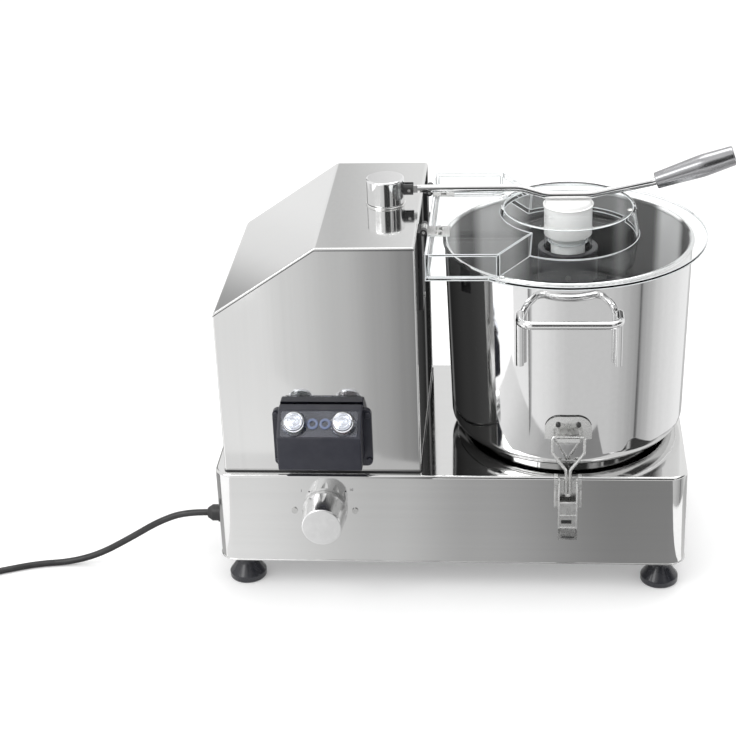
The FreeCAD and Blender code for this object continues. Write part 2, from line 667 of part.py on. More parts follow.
# Speed control on the base's front
def make_knob():
    knob = turned("speed_knob", [
        ("knob_spindle + fit_gap", "loose_gap"), ("knob_back", "loose_gap"), ("knob_back",
                                                                              "knob_collar"),
        ("knob_nose", "knob_length", "screw_head"), ("0", "knob_length"), ("0", "knob_length * 0.7"),
        ("knob_spindle + fit_gap", "knob_length * 0.7")])
    sketch = sketch_on(knob, "XY_Plane", "knob_collar")
    circle(sketch, "knob_back + knob_grip * 0.72", "0", "knob_grip")
    grip = cut(knob, sketch, "knob_length - knob_collar * 1.6", reverse=True)
    polar(knob, [grip], "knob_grip_count")
    keep(place(knob, "knob_axis", "base_front", "knob_level", X_AXIS, "90"))
    keep(cylinder("knob_spindle", "knob_spindle", "knob_length * 0.7 + sheet_wall + pot_bush",
                  "knob_axis", "base_front + sheet_wall + pot_bush", "knob_level", X_AXIS, "90"))
    pot = turned("speed_regulator", [
        ("knob_spindle + fit_gap", "-sheet_wall - loose_gap"), ("pot_bush", "-sheet_wall - loose_gap"),
        ("pot_bush", "0"), ("pot_radius", "0", "screw_head"), ("pot_radius", "pot_length"),
        ("0", "pot_length"),
        ("0", "pot_bush + fit_gap"), ("knob_spindle + fit_gap", "pot_bush + fit_gap")])
    keep(place(pot, "knob_axis", "base_front + sheet_wall", "knob_level", X_AXIS, "-90"))
    screws = [cylinder(f"panel_screw_{i}", "panel_screw", "screw_head",
                       f"knob_axis {side} panel_screw_pitch / 2",
                       "base_front", "knob_level", X_AXIS, "90") for i, side in enumerate("-+")]
    return screws


# Motor and belt drive inside
def make_drive():
    motor = new_body("motor_body")
    sketch = sketch_on(motor, "XY_Plane", "base_top")
    circle(sketch, "0", "0", "motor_flange")
    circle(sketch, "0", "0", "motor_shaft + loose_gap")
    pad(motor, sketch, "motor_plate")
    sketch = sketch_on(motor, "XY_Plane", "base_top + motor_plate")
    circle(sketch, "0", "0", "motor_radius - motor_fin")
    circle(sketch, "0", "0", "motor_shaft + loose_gap")
    pad(motor, sketch, "motor_length")
    sketch = sketch_on(motor, "XY_Plane", "base_top + motor_plate")
    rectangle(sketch, "motor_radius - motor_fin * 1.5", "-motor_fin / 4", "motor_radius",
              "motor_fin / 4")
    fin = pad(motor, sketch, "motor_length")
    polar(motor, [fin], "motor_fin_count")
    sketch = sketch_on(motor, "XY_Plane", "base_top + motor_plate + motor_length")
    circle(sketch, "0", "0", "motor_radius")
    pad(motor, sketch, "fan_cowl")
    round_edges(motor, lambda edge: all_at(edge, "Z", "base_top + motor_plate + motor_length + fan_cowl"),
                "fold_radius * 2")
    keep(place(motor, "motor_axis"))

    keep(cylinder("motor_shaft", "motor_shaft", "motor_shaft_drop + motor_plate + motor_length",
                  "motor_axis", "0", "base_top - motor_shaft_drop"))
    keep(make_pulley("drive_pulley", "motor_axis", "motor_shaft"))
    keep(make_pulley("driven_pulley", "bowl_axis", "shaft_radius"))

    belt = new_body("drive_belt")
    for side, radius in ((0, "pulley_radius + loose_gap + belt_thick"),
                         (1, "pulley_radius + loose_gap")):
        sketch = sketch_on(belt, "XY_Plane", "belt_bottom")
        slot_outline(sketch, "motor_axis", "bowl_axis", radius)
        if side:
            cut(belt, sketch, "pulley_width", reverse=True)
        else:
            pad(belt, sketch, "pulley_width")
    keep(belt)


def slot_outline(sketch, left, right, radius):
    """Two half circles joined by straight runs."""
    a, b, r = value(left), value(right), value(radius)
    up = FreeCAD.Vector(0, 0, 1)
    arcs = [sketch.addGeometry(Part.ArcOfCircle(Part.Circle(FreeCAD.Vector(x, 0, 0), up, r), *turn),
                               False)
            for x, turn in ((a, (math.pi / 2, 3 * math.pi / 2)), (b, (-math.pi / 2, math.pi / 2)))]
    low = sketch.addGeometry(Part.LineSegment(FreeCAD.Vector(a, -r, 0), FreeCAD.Vector(b, -r, 0)),
                             False)
    high = sketch.addGeometry(Part.LineSegment(FreeCAD.Vector(b, r, 0), FreeCAD.Vector(a, r, 0)), False)
    for first, end, second, start in ((arcs[0], 2, low, 1), (low, 2, arcs[1], 1), (arcs[1], 2, high, 1),
                                      (high, 2, arcs[0], 1)):
        sketch.addConstraint(Sketcher.Constraint("Tangent", first, end, second, start))
    locate(sketch, arcs[0], 3, (left, "0"))
    locate(sketch, arcs[1], 3, (right, "0"))
    bind_radius(sketch, arcs[0], radius)


def make_pulley(label, axis, bore):
    """Belt pulley with a flange each side."""
    rim = "pulley_radius + pulley_rim + belt_thick"
    pulley = turned(label, [
        (bore, "-pulley_flange"), (rim, "-pulley_flange"), (rim, "-loose_gap"), ("pulley_radius",
                                                                                 "-loose_gap"),
        ("pulley_radius", "pulley_width + loose_gap"), (rim, "pulley_width + loose_gap"),
        (rim, "pulley_width + pulley_flange"), (bore, "pulley_width + pulley_flange")])
    return place(pulley, axis, "0", "belt_bottom")


# Blade shaft in its bearing tower
def make_shaft():
    tower = turned("bearing_tower", [
        ("bearing_radius", "tower_bottom"), ("tower_radius", "tower_bottom"),
        ("tower_radius", "base_top - sheet_wall - tower_plate", "fold_radius"),
        ("tower_flange", "base_top - sheet_wall - tower_plate"), ("tower_flange",
                                                                  "base_top - sheet_wall"),
        ("tower_radius", "base_top - sheet_wall"), ("tower_radius", "tower_top"),
        ("bearing_radius", "tower_top"), ("bearing_radius", "tower_top - bearing_width"),
        ("shaft_radius + fold_radius", "tower_top - bearing_width"),
        ("shaft_radius + fold_radius", "tower_bottom + bearing_width"),
        ("bearing_radius", "tower_bottom + bearing_width")])
    keep(place(tower, "bowl_axis"))
    keep(group("shaft_bearings", [
        place(make_bearing(name), "bowl_axis", "0", low)
        for name, low in (("upper_bearing", "tower_top - bearing_width"),
                          ("lower_bearing", "tower_bottom"))]))
    keep(cylinder("blade_shaft", "shaft_radius", "shaft_top - belt_bottom + pulley_flange", "bowl_axis",
                  "0",
                  "belt_bottom - pulley_flange"))


def make_bearing(label):
    """Sealed ball bearing as one ring with a seal recess on each face."""
    inner, outer = "shaft_radius + fit_gap", "bearing_radius"
    lip, dip = "(bearing_radius - shaft_radius) / 4", "bearing_width / 10"
    return turned(label, [
        (inner, "0"), (f"{inner} + {lip}", "0"), (f"{inner} + {lip}", dip), (f"{outer} - {lip}", dip),
        (f"{outer} - {lip}", "0"), (outer, "0"), (outer, "bearing_width"), (f"{outer} - {lip}",
                                                                            "bearing_width"),
        (f"{outer} - {lip}", f"bearing_width - {dip}"), (f"{inner} + {lip}", f"bearing_width - {dip}"),
        (f"{inner} + {lip}", "bearing_width"), (inner, "bearing_width")])


# Hub and sickle blades
def make_blades():
    bore = "bowl_tube + hub_clear"
    hub = turned("blade_hub", [
        (bore, "hub_low"), ("hub_sleeve", "hub_low"), ("hub_sleeve", "hub_step - fold_radius"),
        ("hub_radius", "hub_step"), ("hub_radius", "hub_top", "screw_head / 2"), ("hub_bore",
                                                                                  "hub_top"),
        ("hub_bore", "hub_top - hub_floor", "fold_radius"), ("shaft_radius", "hub_top - hub_floor"),
        ("shaft_radius", "bowl_bottom + bowl_tube_height + bowl_wall * 4"),
        (bore, "bowl_bottom + bowl_tube_height + bowl_wall * 4")])
    sketch = sketch_on(hub, "XZ_Plane")
    circle(sketch, "0", "screw_level", "hub_screw")
    cut(hub, sketch, reverse=True)
    keep(place(hub, "bowl_axis"))
    for name, low, angle in (("lower_blade", "blade_low", "0"),
                             ("upper_blade", "blade_low + blade_gap", "90")):
        keep(place(make_blade(name), "bowl_axis", "0", low, Z_AXIS, angle))
    for name, low, high in (("blade_spacer", "blade_low + blade_thick", "blade_low + blade_gap"),):
        ring = turned(name, [("hub_sleeve", low), ("blade_root", low), ("blade_root", high),
                             ("hub_sleeve", high)])
        keep(place(ring, "bowl_axis"))
    keep(cylinder("hub_screw", "hub_screw", "hub_radius - shaft_radius", "bowl_axis", "-shaft_radius",
                  "screw_level", X_AXIS, "90"))


def make_blade(label):
    """Two curved wings on a ring, each ground to an edge on its leading side."""
    blade = new_body(label)
    sketch = sketch_on(blade, "XY_Plane")
    sickle(sketch)
    wing = pad(blade, sketch, "blade_thick")
    sketch = sketch_on(blade, "XZ_Plane", "-edge_centre_y")
    sketch.setExpression("AttachmentOffset.Base.x", bind("edge_centre_x"))
    chain(sketch, [("blade_bow - bevel_run", "blade_thick"), ("blade_bow", "edge_land"),
                   ("blade_bow + blade_thick", "edge_land"), ("blade_bow + blade_thick",
                                                              "blade_thick")])
    bevel = spin(blade, sketch, remove=True)
    polar(blade, [wing, bevel], "2")
    sketch = sketch_on(blade, "XY_Plane")
    circle(sketch, "0", "0", "blade_root")
    pad(blade, sketch, "blade_thick")
    sketch = sketch_on(blade, "XY_Plane")
    circle(sketch, "0", "0", "hub_sleeve")
    cut(blade, sketch, "blade_thick", reverse=True)
    return blade


def sickle(sketch):
    """Wing between a bowed edge and a hollow back, from the ring out to a narrow tip."""
    root, tip = value("blade_heel"), value("blade_reach")
    lead = FreeCAD.Vector(0, -root, 0)
    trail = FreeCAD.Vector(0, root, 0)
    end = FreeCAD.Vector(tip, 0, 0)
    front = arc_by_radius(lead, end, value("blade_bow"))
    back = arc_by_radius(trail, end, value("blade_hollow"))
    a = sketch.addGeometry(front, False)
    b = sketch.addGeometry(back, False)
    line = sketch.addGeometry(Part.LineSegment(trail, lead), False)
    sketch.addConstraint(Sketcher.Constraint("Coincident", a, 1, line, 2))
    sketch.addConstraint(Sketcher.Constraint("Coincident", a, 2, b, 2))
    sketch.addConstraint(Sketcher.Constraint("Coincident", b, 1, line, 1))
    locate(sketch, line, 1, ("0", "blade_heel"))
    locate(sketch, line, 2, ("0", "-blade_heel"))
    locate(sketch, a, 2, ("blade_reach", "0"))
    bind_radius(sketch, a, "blade_bow")
    bind_radius(sketch, b, "blade_hollow")


def arc_by_radius(start, end, radius):
    """Minor arc of a radius from start to end against the clock."""
    middle = (start + end) * 0.5
    half = (end - start).Length / 2
    along = (end - start).normalize()
    normal = FreeCAD.Vector(-along.y, along.x, 0)
    centre = middle + normal * math.sqrt(radius ** 2 - half ** 2)
    return arc_between(start, end, centre)


def wall_radius(level):
    """Outer radius of the bowl at a height."""
    return f"(bowl_low_radius + bowl_flare * ({level} - bowl_bottom))"


# Bowl with its centre tube
def make_bowl():
    bowl = turned("bowl_shell", [
        ("bowl_tube - bowl_wall", "bowl_bottom"), ("bowl_low_radius", "bowl_bottom", "bowl_corner"),
        ("bowl_rim_radius", "bowl_top"), ("bowl_rim_radius - bowl_wall", "bowl_top"),
        ("bowl_low_radius - bowl_wall", "bowl_bottom + bowl_wall", "bowl_corner - bowl_wall"),
        ("bowl_tube", "bowl_bottom + bowl_wall", "bowl_wall * 2"), ("bowl_tube",
                                                                    "bowl_bottom + bowl_tube_height"),
        ("bowl_tube - bowl_wall", "bowl_bottom + bowl_tube_height")])
    sketch = sketch_on(bowl, "XZ_Plane")
    circle(sketch, "bowl_rim_radius - bowl_wall / 2", "bowl_top", "rim_bead")
    spin(bowl, sketch)
    sketch = sketch_on(bowl, "XZ_Plane")
    rectangle(sketch, "bowl_ring", "base_top", "bowl_ring + bowl_wall * 2",
              "bowl_bottom + bowl_wall / 2")
    spin(bowl, sketch)
    keep(place(bowl, "bowl_axis"))


def round_bowl(item, angle):
    """Set a piece of the bowl's front at the front, or half a turn round at the back."""
    item.Placement = FreeCAD.Placement(FreeCAD.Vector(), FreeCAD.Rotation(Z_AXIS, angle))
    item.setExpression("Placement.Base.x", bind("bowl_axis"))
    return item


# Bowl handle, bent from one rod
def make_handle(name, angle):
    level, half = value("bowl_bottom + handle_level"), value("handle_width / 2")
    low = value("bowl_bottom + handle_level - handle_leg")

    def seat(height):
        radius = value(wall_radius(str(height))) + value("handle_rod")
        return -math.sqrt(radius ** 2 - half ** 2)

    bar = -value(wall_radius(str(level))) - value("handle_reach") + value("handle_rod")
    points = [(-half, seat(low), low), (-half, seat(level), level), (-half, bar, level),
              (half, bar, level), (half, seat(level), level), (half, seat(low), low)]
    path = bent_wire([FreeCAD.Vector(*p) for p in points], [value("handle_bend")] * 4)
    keep(round_bowl(feature(name + "_bowl_handle", swept(path, value("handle_rod"))), angle))


# Catch on the bowl wall for the latch's bail
def make_catch(name, angle):
    catch = new_body(name + "_catch")
    low, high = "bowl_bottom + catch_low", "bowl_bottom + catch_low + catch_height"
    sketch = sketch_on(catch, "XZ_Plane", "bowl_low_radius - catch_width / 3")
    chain(sketch, [("-catch_width / 2", low), ("catch_width / 2", low),
                   ("catch_width / 2", high, "catch_arch"), ("-catch_width / 2", high, "catch_arch")])
    pad(catch, sketch, "catch_width / 3 + catch_plate * 4")
    for start, end in (("0", "0"), ("catch_plate", "bowl_rim_radius")):
        sketch = sketch_on(catch, "XZ_Plane")
        inner = [f"{wall_radius(z)} + {start}" for z in (low, high)] if end != "0" else ["0", "0"]
        outer = [f"{wall_radius(z)} + {end}" for z in (low, high)]
        chain(sketch, [(inner[0], low), (outer[0], low), (outer[1], high), (inner[1], high)])
        spin(catch, sketch, remove=True)
    sketch = sketch_on(catch, "YZ_Plane")
    root = f"-{wall_radius('shelf_top')} - catch_plate / 2"
    lip = "latch_plane - bail_wire - bail_play"
    chain(sketch, [(root, "shelf_top - shelf_thick"), (root, "shelf_top"), (lip, "shelf_top"),
                   (lip, "shelf_top + lip_height"), (f"{lip} - lip_thick", "shelf_top + lip_height"),
                   (f"{lip} - lip_thick", "shelf_top - shelf_thick", "lip_thick")])
    pad(catch, sketch, "shelf_width", both=True)
    sketch = sketch_on(catch, "XZ_Plane", f"{wall_radius(low)} - catch_width / 3")
    for side in "-+":
        circle(sketch, f"{side}rivet_pitch / 2", "bowl_bottom + rivet_rise",
               "rivet_radius / 2 + fit_gap")
    cut(catch, sketch, "catch_width", reverse=True)
    keep(round_bowl(catch, angle))

    rivets = []
    head = f"-{wall_radius('(bowl_bottom + rivet_rise)')} - catch_plate"
    for i, side in enumerate("-+"):
        rivet = turned(f"{name}_rivet_{i}", [
            ("0", "fit_gap * 4 - catch_plate"), ("rivet_radius / 2", "fit_gap * 4 - catch_plate"),
            ("rivet_radius / 2", "0"), ("rivet_radius", "0"),
            ("rivet_radius", "screw_head", "screw_head / 2"), ("0", "screw_head")])
        rivets.append(place(rivet, f"{side}rivet_pitch / 2", head, "bowl_bottom + rivet_rise", X_AXIS,
                            "90"))
    return round_bowl(group(name + "_catch_rivets", rivets), angle)


# Over-centre latch on the base
def make_latch(name, angle):
    base = new_body(name + "_latch_base")
    sketch = sketch_on(base, "XZ_Plane", "-base_front")
    rectangle(sketch, "-latch_width / 2", "base_top - latch_plate_low", "latch_width / 2",
              "base_top - fold_radius")
    pad(base, sketch, "latch_plate")
    sketch = sketch_on(base, "YZ_Plane")
    chain(sketch, [("base_front", "pivot_level - latch_crank"),
                   ("base_front", "base_top + latch_plate_top", "fold_radius"),
                   ("latch_plane - latch_ear", "base_top + latch_plate_top", "fold_radius"),
                   ("latch_plane - latch_ear", "pivot_level - latch_ear", "fold_radius")])
    pad(base, sketch, "latch_width", both=True)
    sketch = sketch_on(base, "YZ_Plane")
    rectangle(sketch, "base_front - latch_width", "pivot_level - latch_width",
              "base_front - latch_plate",
              "base_top + latch_width")
    cut(base, sketch, "latch_width - 2 * latch_ear", both=True)
    sketch = sketch_on(base, "YZ_Plane")
    rectangle(sketch, "base_front - latch_width", "base_top - fold_radius", "base_front + latch_plate",
              "base_top + latch_width")
    cut(base, sketch, "latch_width - 2 * latch_ear", both=True)
    sketch = sketch_on(base, "YZ_Plane")
    circle(sketch, "latch_plane", "pivot_level", "pivot_pin")
    cut(base, sketch, both=True)
    keep(round_bowl(base, angle))

    stub = "latch_width / 2 - lever_width / 2 + lever_wall"
    pins = [cylinder(f"{name}_pin_{i}", "pivot_pin", stub, x, "latch_plane", "pivot_level", Y_AXIS,
                     "90")
            for i, x in enumerate(("-latch_width / 2", "lever_width / 2 - lever_wall"))]
    lever = new_body(name + "_latch_lever")
    sketch = sketch_on(lever, "YZ_Plane")
    front, back = "latch_plane - lever_depth", "latch_plane + lever_head - fit_gap * 8"
    chain(sketch, [
        (back, "pivot_level + lever_head", "lever_head * 0.8"),
        ("latch_plane - lever_head", "pivot_level + lever_head", "lever_head * 0.8"),
        (front, "pivot_level - lever_web / 2"), (front, "pivot_level - lever_length * 0.82",
                                                 "lever_lip * 2"),
        (f"{front} - lever_lip", "pivot_level - lever_length"),
        (f"{front} - lever_lip + lever_wall", "pivot_level - lever_length"),
        (f"{front} + lever_wall", "pivot_level - lever_length * 0.82", "lever_lip * 2"),
        (back, "pivot_level - lever_length * 0.66", "lever_lip")])
    pad(lever, sketch, "lever_width", both=True)
    sketch = sketch_on(lever, "YZ_Plane")
    chain(sketch, [
        (f"{front} + lever_wall", "pivot_level - lever_length * 0.8"),
        ("latch_plane + latch_width", "pivot_level - lever_length * 0.8"),
        ("latch_plane + latch_width", "pivot_level + latch_width"),
        ("latch_plane - latch_width", "pivot_level + latch_width"),
        ("latch_plane - latch_width", "pivot_level - lever_web"), (f"{front} + lever_wall",
                                                                   "pivot_level - lever_web")])
    cut(lever, sketch, "lever_width - 2 * lever_wall", both=True)
    sketch = sketch_on(lever, "YZ_Plane")
    circle(sketch, "latch_plane", "pivot_level", "pivot_pin + fit_gap")
    circle(sketch, "latch_plane", "crank_level", "bail_wire + fit_gap")
    cut(lever, sketch, both=True)
    keep(round_bowl(lever, angle))

    plane, bottom, top = value("latch_plane"), value("crank_level"), value("bail_bar")
    half, narrow = value("bail_half"), value("bail_narrow")
    wide_from = value("crank_level + bail_wide_from")
    narrow_from = value("crank_level + bail_narrow_from")
    side = [(narrow, plane, bottom), (narrow, plane, narrow_from), (half, plane, wide_from),
            (half, plane, top)]
    points = [(-x, y, z) for x, y, z in side] + side[::-1]
    path = bent_wire([FreeCAD.Vector(*p) for p in points], [value("bail_bend")] * 6)
    loop = feature(name + "_bail_loop", swept(path, value("bail_wire")))
    bar = cylinder(name + "_bail_bar", "bail_wire", "lever_width", "-lever_width / 2", "latch_plane",
                   "crank_level", Y_AXIS, "90")
    keep(round_bowl(fused(name + "_latch_bail", [loop, bar]), angle))
    return round_bowl(group(name + "_latch_pins", pins), angle)


# Clear lid
def make_lid():
    lid = new_body("lid_shell")
    sketch = sketch_on(lid, "XY_Plane", "lid_bottom")
    circle(sketch, "0", "0", "lid_radius")
    pad(lid, sketch, "lid_sheet")
    sketch = sketch_on(lid, "XY_Plane", "lid_bottom")
    rectangle(sketch, "lid_left", "-lid_box_half - lid_wall", "lid_left / 2", "lid_box_half + lid_wall")
    pad(lid, sketch, "lid_sheet")
    sketch = sketch_on(lid, "XY_Plane", "lid_bottom")
    box_outline(sketch, "0")
    pad(lid, sketch, "box_top - lid_bottom")
    flare = "(plateau_height * tan(plateau_draft))"
    sketch = sketch_on(lid, "XZ_Plane")
    chain(sketch, [("0", "lid_bottom"), (f"plateau_radius + {flare}", "lid_bottom"),
                   ("plateau_radius", "plateau_top", "lid_wall * 1.3"), ("0", "plateau_top")])
    spin(lid, sketch)
    sketch = sketch_on(lid, "XY_Plane", "lid_bottom")
    box_outline(sketch, "lid_wall")
    cut(lid, sketch, "box_top - lid_bottom - lid_wall", reverse=True)
    sketch = sketch_on(lid, "XZ_Plane")
    chain(sketch, [("0", "lid_bottom"), (f"plateau_radius - lid_wall + {flare}", "lid_bottom"),
                   ("plateau_radius - lid_wall", "plateau_top - lid_wall"), ("0",
                                                                             "plateau_top - lid_wall")])
    spin(lid, sketch, remove=True)
    sketch = sketch_on(lid, "XZ_Plane")
    rectangle(sketch, "sleeve_radius - sleeve_wall", "plateau_top - sleeve_drop", "sleeve_radius",
              "plateau_top - lid_wall / 2")
    spin(lid, sketch)
    sketch = sketch_on(lid, "XY_Plane", "plateau_top")
    circle(sketch, "0", "0", "sleeve_radius - sleeve_wall")
    cut(lid, sketch, "lid_wall * 2")
    keep(place(lid, "bowl_axis"))

    bore = "sleeve_radius - sleeve_wall - fit_gap"
    cap = turned("lid_cap", [
        ("0", "-cap_drop"), ("cap_stem", "-cap_drop", "screw_head"), ("cap_stem", "-lid_wall * 3"),
        (bore, "-lid_wall * 3"), (bore, "0"), ("cap_radius", "0"),
        ("cap_radius", "cap_edge", "cap_edge / 2"),
        ("cap_radius * 0.7", "cap_height * 0.9", "cap_radius / 2"), ("0", "cap_height")])
    keep(place(cap, "bowl_axis", "0", "plateau_top"))


def box_outline(sketch, inset):
    """Outline of the lid's raised part, from the hinge end to below the plateau."""
    half, waist = f"lid_box_half - {inset}", f"lid_waist_half - {inset}"
    run, far = f"lid_left + lid_box_run - {inset}", f"lid_left + lid_waist_run - {inset}"
    chain(sketch, [(f"lid_left + {inset}", f"-({half})"), (run, f"-({half})"), (far, f"-({waist})"),
                   ("lid_left / 8", f"-({waist}) / 2"), ("lid_left / 8", f"({waist}) / 2"),
                   (far, waist), (run, half), (f"lid_left + {inset}", half)])


# Lid hinges on the housing's side
def make_hinges():
    brackets, leaves, pins, leaf_screws, bracket_screws = [], [], [], [], []
    for name, side in (("front", "-"), ("rear", "")):
        y = f"{side}hinge_offset"
        low = f"{y} - hinge_width / 2"
        knuckle = cylinder(name + "_knuckle", "hinge_barrel", "hinge_width", "hinge_axis",
                           f"{y} + hinge_width / 2",
                           "hinge_level", X_AXIS, "90")
        plate = block(name + "_plate", "bracket_plate", "hinge_width", "bracket_height",
                      "housing_right", low,
                      "hinge_level - bracket_height")
        whole = fused(name + "_bracket_blank", [plate, knuckle])
        slot = block(name + "_slot", "hinge_barrel * 3", "hinge_knuckle", "hinge_barrel * 4",
                     "hinge_axis - hinge_barrel - loose_gap", f"{y} - hinge_knuckle / 2",
                     "hinge_level - hinge_barrel * 2")
        bore = cylinder(name + "_bore", "hinge_pin", "hinge_width", "hinge_axis",
                        f"{y} + hinge_width / 2",
                        "hinge_level", X_AXIS, "90")
        tools = fused(name + "_bracket_tools", [slot, bore])
        brackets.append(less(name + "_bracket", whole, tools))

        width = "(hinge_knuckle - 2 * loose_gap)"
        roll = cylinder(name + "_roll", "hinge_barrel", width, "hinge_axis", f"{y} + {width} / 2",
                        "hinge_level",
                        X_AXIS, "90")
        neck = block(name + "_neck", "bowl_axis + lid_left - hinge_axis + hinge_leaf", width,
                     "hinge_leaf",
                     "hinge_axis", f"{y} - {width} / 2", "box_top")
        leaf = block(name + "_leaf", "hinge_leaf_run", "hinge_width", "hinge_leaf",
                     "bowl_axis + lid_left", low,
                     "box_top")
        eye = cylinder(name + "_eye", "hinge_pin + fit_gap", width, "hinge_axis", f"{y} + {width} / 2",
                       "hinge_level", X_AXIS, "90")
        leaves.append(less(name + "_lid_leaf", fused(name + "_leaf_blank", [roll, neck, leaf]), eye))
        pins.append(cylinder(name + "_pin", "hinge_pin", "hinge_width", "hinge_axis",
                             f"{y} + hinge_width / 2",
                             "hinge_level", X_AXIS, "90"))
        for i, turn in enumerate("-+"):
            leaf_screws.append(cylinder(f"{name}_leaf_screw_{i}", "panel_screw", "screw_head",
                                        "bowl_axis + lid_left + hinge_leaf_run / 2",
                                        f"{y} {turn} hinge_width / 4", "box_top + hinge_leaf"))
            level = f"hinge_level - bracket_height * (0.6 {turn} 0.26)"
            bracket_screws.append(cylinder(f"{name}_bracket_screw_{i}", "panel_screw", "screw_head",
                                           "housing_right + bracket_plate", y, level, Y_AXIS, "90"))
    keep(group("hinge_brackets", brackets))
    keep(group("lid_leaves", leaves))
    keep(group("hinge_pins", pins))
    keep(group("lid_leaf_screws", leaf_screws))
    return bracket_screws


# Arm that holds the lid down
def make_arm():
    bush = turned("arm_bush", [
        ("arm_pin + fit_gap", "-arm_bush_drop"), ("arm_bush", "-arm_bush_drop"), ("arm_bush", "0"),
        ("head_radius + head_seat / 2", "0"), ("head_radius + head_seat / 2", "head_seat",
                                               "head_seat / 2"),
        ("arm_pin + fit_gap", "head_seat")])
    keep(place(bush, "arm_axis", "0", "housing_top"))
    pin = turned("arm_swing_pin", [
        ("0", "-arm_bush_drop - head_edge * 2"), ("arm_bush", "-arm_bush_drop - head_edge * 2"),
        ("arm_bush", "-arm_bush_drop - loose_gap"), ("arm_pin", "-arm_bush_drop - loose_gap"),
        ("arm_pin", "head_seat + loose_gap + head_height * 0.6"),
        ("0", "head_seat + loose_gap + head_height * 0.6")])
    keep(place(pin, "arm_axis", "0", "housing_top"))
    head = turned("arm_head", [
        ("arm_pin", "0"), ("head_radius", "0", "head_edge / 2"), ("head_radius", "head_height",
                                                                  "head_edge"),
        ("0", "head_height"), ("0", "head_height * 0.6"), ("arm_pin", "head_height * 0.6")])
    sketch = sketch_on(head, "YZ_Plane", "head_radius - head_edge")
    circle(sketch, "0", "rod_level - head_bottom", "knuckle_radius")
    cut(head, sketch, "head_radius", reverse=True)
    keep(place(head, "arm_axis", "0", "head_bottom"))

    knuckle = new_body("arm_knuckle")
    sketch = sketch_on(knuckle, "YZ_Plane", "knuckle_start - head_edge")
    circle(sketch, "0", "rod_level", "knuckle_radius")
    pad(knuckle, sketch, "knuckle_length + head_edge")
    sketch = sketch_on(knuckle, "XZ_Plane")
    rectangle(sketch, "lift_axis - knuckle_slot", "rod_level - knuckle_radius * 2",
              "lift_axis + knuckle_length",
              "rod_level + knuckle_radius * 2")
    cut(knuckle, sketch, "knuckle_slot", both=True)
    sketch = sketch_on(knuckle, "XZ_Plane")
    circle(sketch, "lift_axis", "rod_level", "lift_pin")
    cut(knuckle, sketch, both=True)
    keep(knuckle)
    keep(cylinder("lift_pin", "lift_pin", "knuckle_radius * 1.9", "lift_axis", "knuckle_radius * 0.95",
                  "rod_level", X_AXIS, "90"))

    rod = new_body("arm_rod")
    start = "lift_axis + knuckle_radius * 1.3"
    first, dip_end = "lift_axis + arm_first", "lift_axis + arm_first + arm_dip_run"
    flat_end, rise_end = f"{dip_end} + arm_flat", f"{dip_end} + arm_flat + arm_rise_run"
    grip_z = "rod_level - arm_dip + arm_rise"
    path = sketch_on(rod, "XZ_Plane")
    chain(path, [(start, "rod_level"), (first, "rod_level", "arm_bend"),
                 (dip_end, "rod_level - arm_dip", "arm_bend"), (flat_end, "rod_level - arm_dip",
                                                                "arm_bend"),
                 (rise_end, grip_z, "arm_bend / 2"),
                 (f"{rise_end} + grip_length / 3 * cos(grip_tilt)",
                  f"{grip_z} + grip_length / 3 * sin(grip_tilt)")],
          closed=False)
    ring = sketch_on(rod, "YZ_Plane", start)
    circle(ring, "0", "rod_level", "arm_rod")
    pipe = rod.newObject("PartDesign::AdditivePipe", "arm_rod_pipe")
    pipe.Profile = ring
    pipe.Spine = (path, [])
    doc.recompute()
    sketch = sketch_on(rod, "XZ_Plane")
    rectangle(sketch, "lift_axis", "rod_level - arm_rod * 0.9", f"{start} + arm_rod",
              "rod_level + arm_rod * 0.9")
    pad(rod, sketch, "knuckle_slot - 2 * loose_gap", both=True)
    sketch = sketch_on(rod, "XZ_Plane")
    circle(sketch, "lift_axis", "rod_level", "arm_rod * 0.9")
    pad(rod, sketch, "knuckle_slot - 2 * loose_gap", both=True)
    sketch = sketch_on(rod, "XZ_Plane")
    circle(sketch, "lift_axis", "rod_level", "lift_pin + fit_gap")
    cut(rod, sketch, both=True)
    keep(rod)

    grip = turned("arm_grip", [
        ("arm_rod", "0"), ("grip_small", "0", "head_edge / 2"), ("grip_large", "grip_length * 0.6",
                                                                 "grip_length"),
        ("grip_end", "grip_length", "head_edge"), ("0", "grip_length"), ("0",
                                                                         "grip_length / 3 - arm_rod"),
        ("arm_rod", "grip_length / 3 - arm_rod")])
    keep(place(grip, f"{rise_end} + arm_rod * cos(grip_tilt)", "0",
               f"{grip_z} + arm_rod * sin(grip_tilt)",
               Y_AXIS, "90 - grip_tilt"))


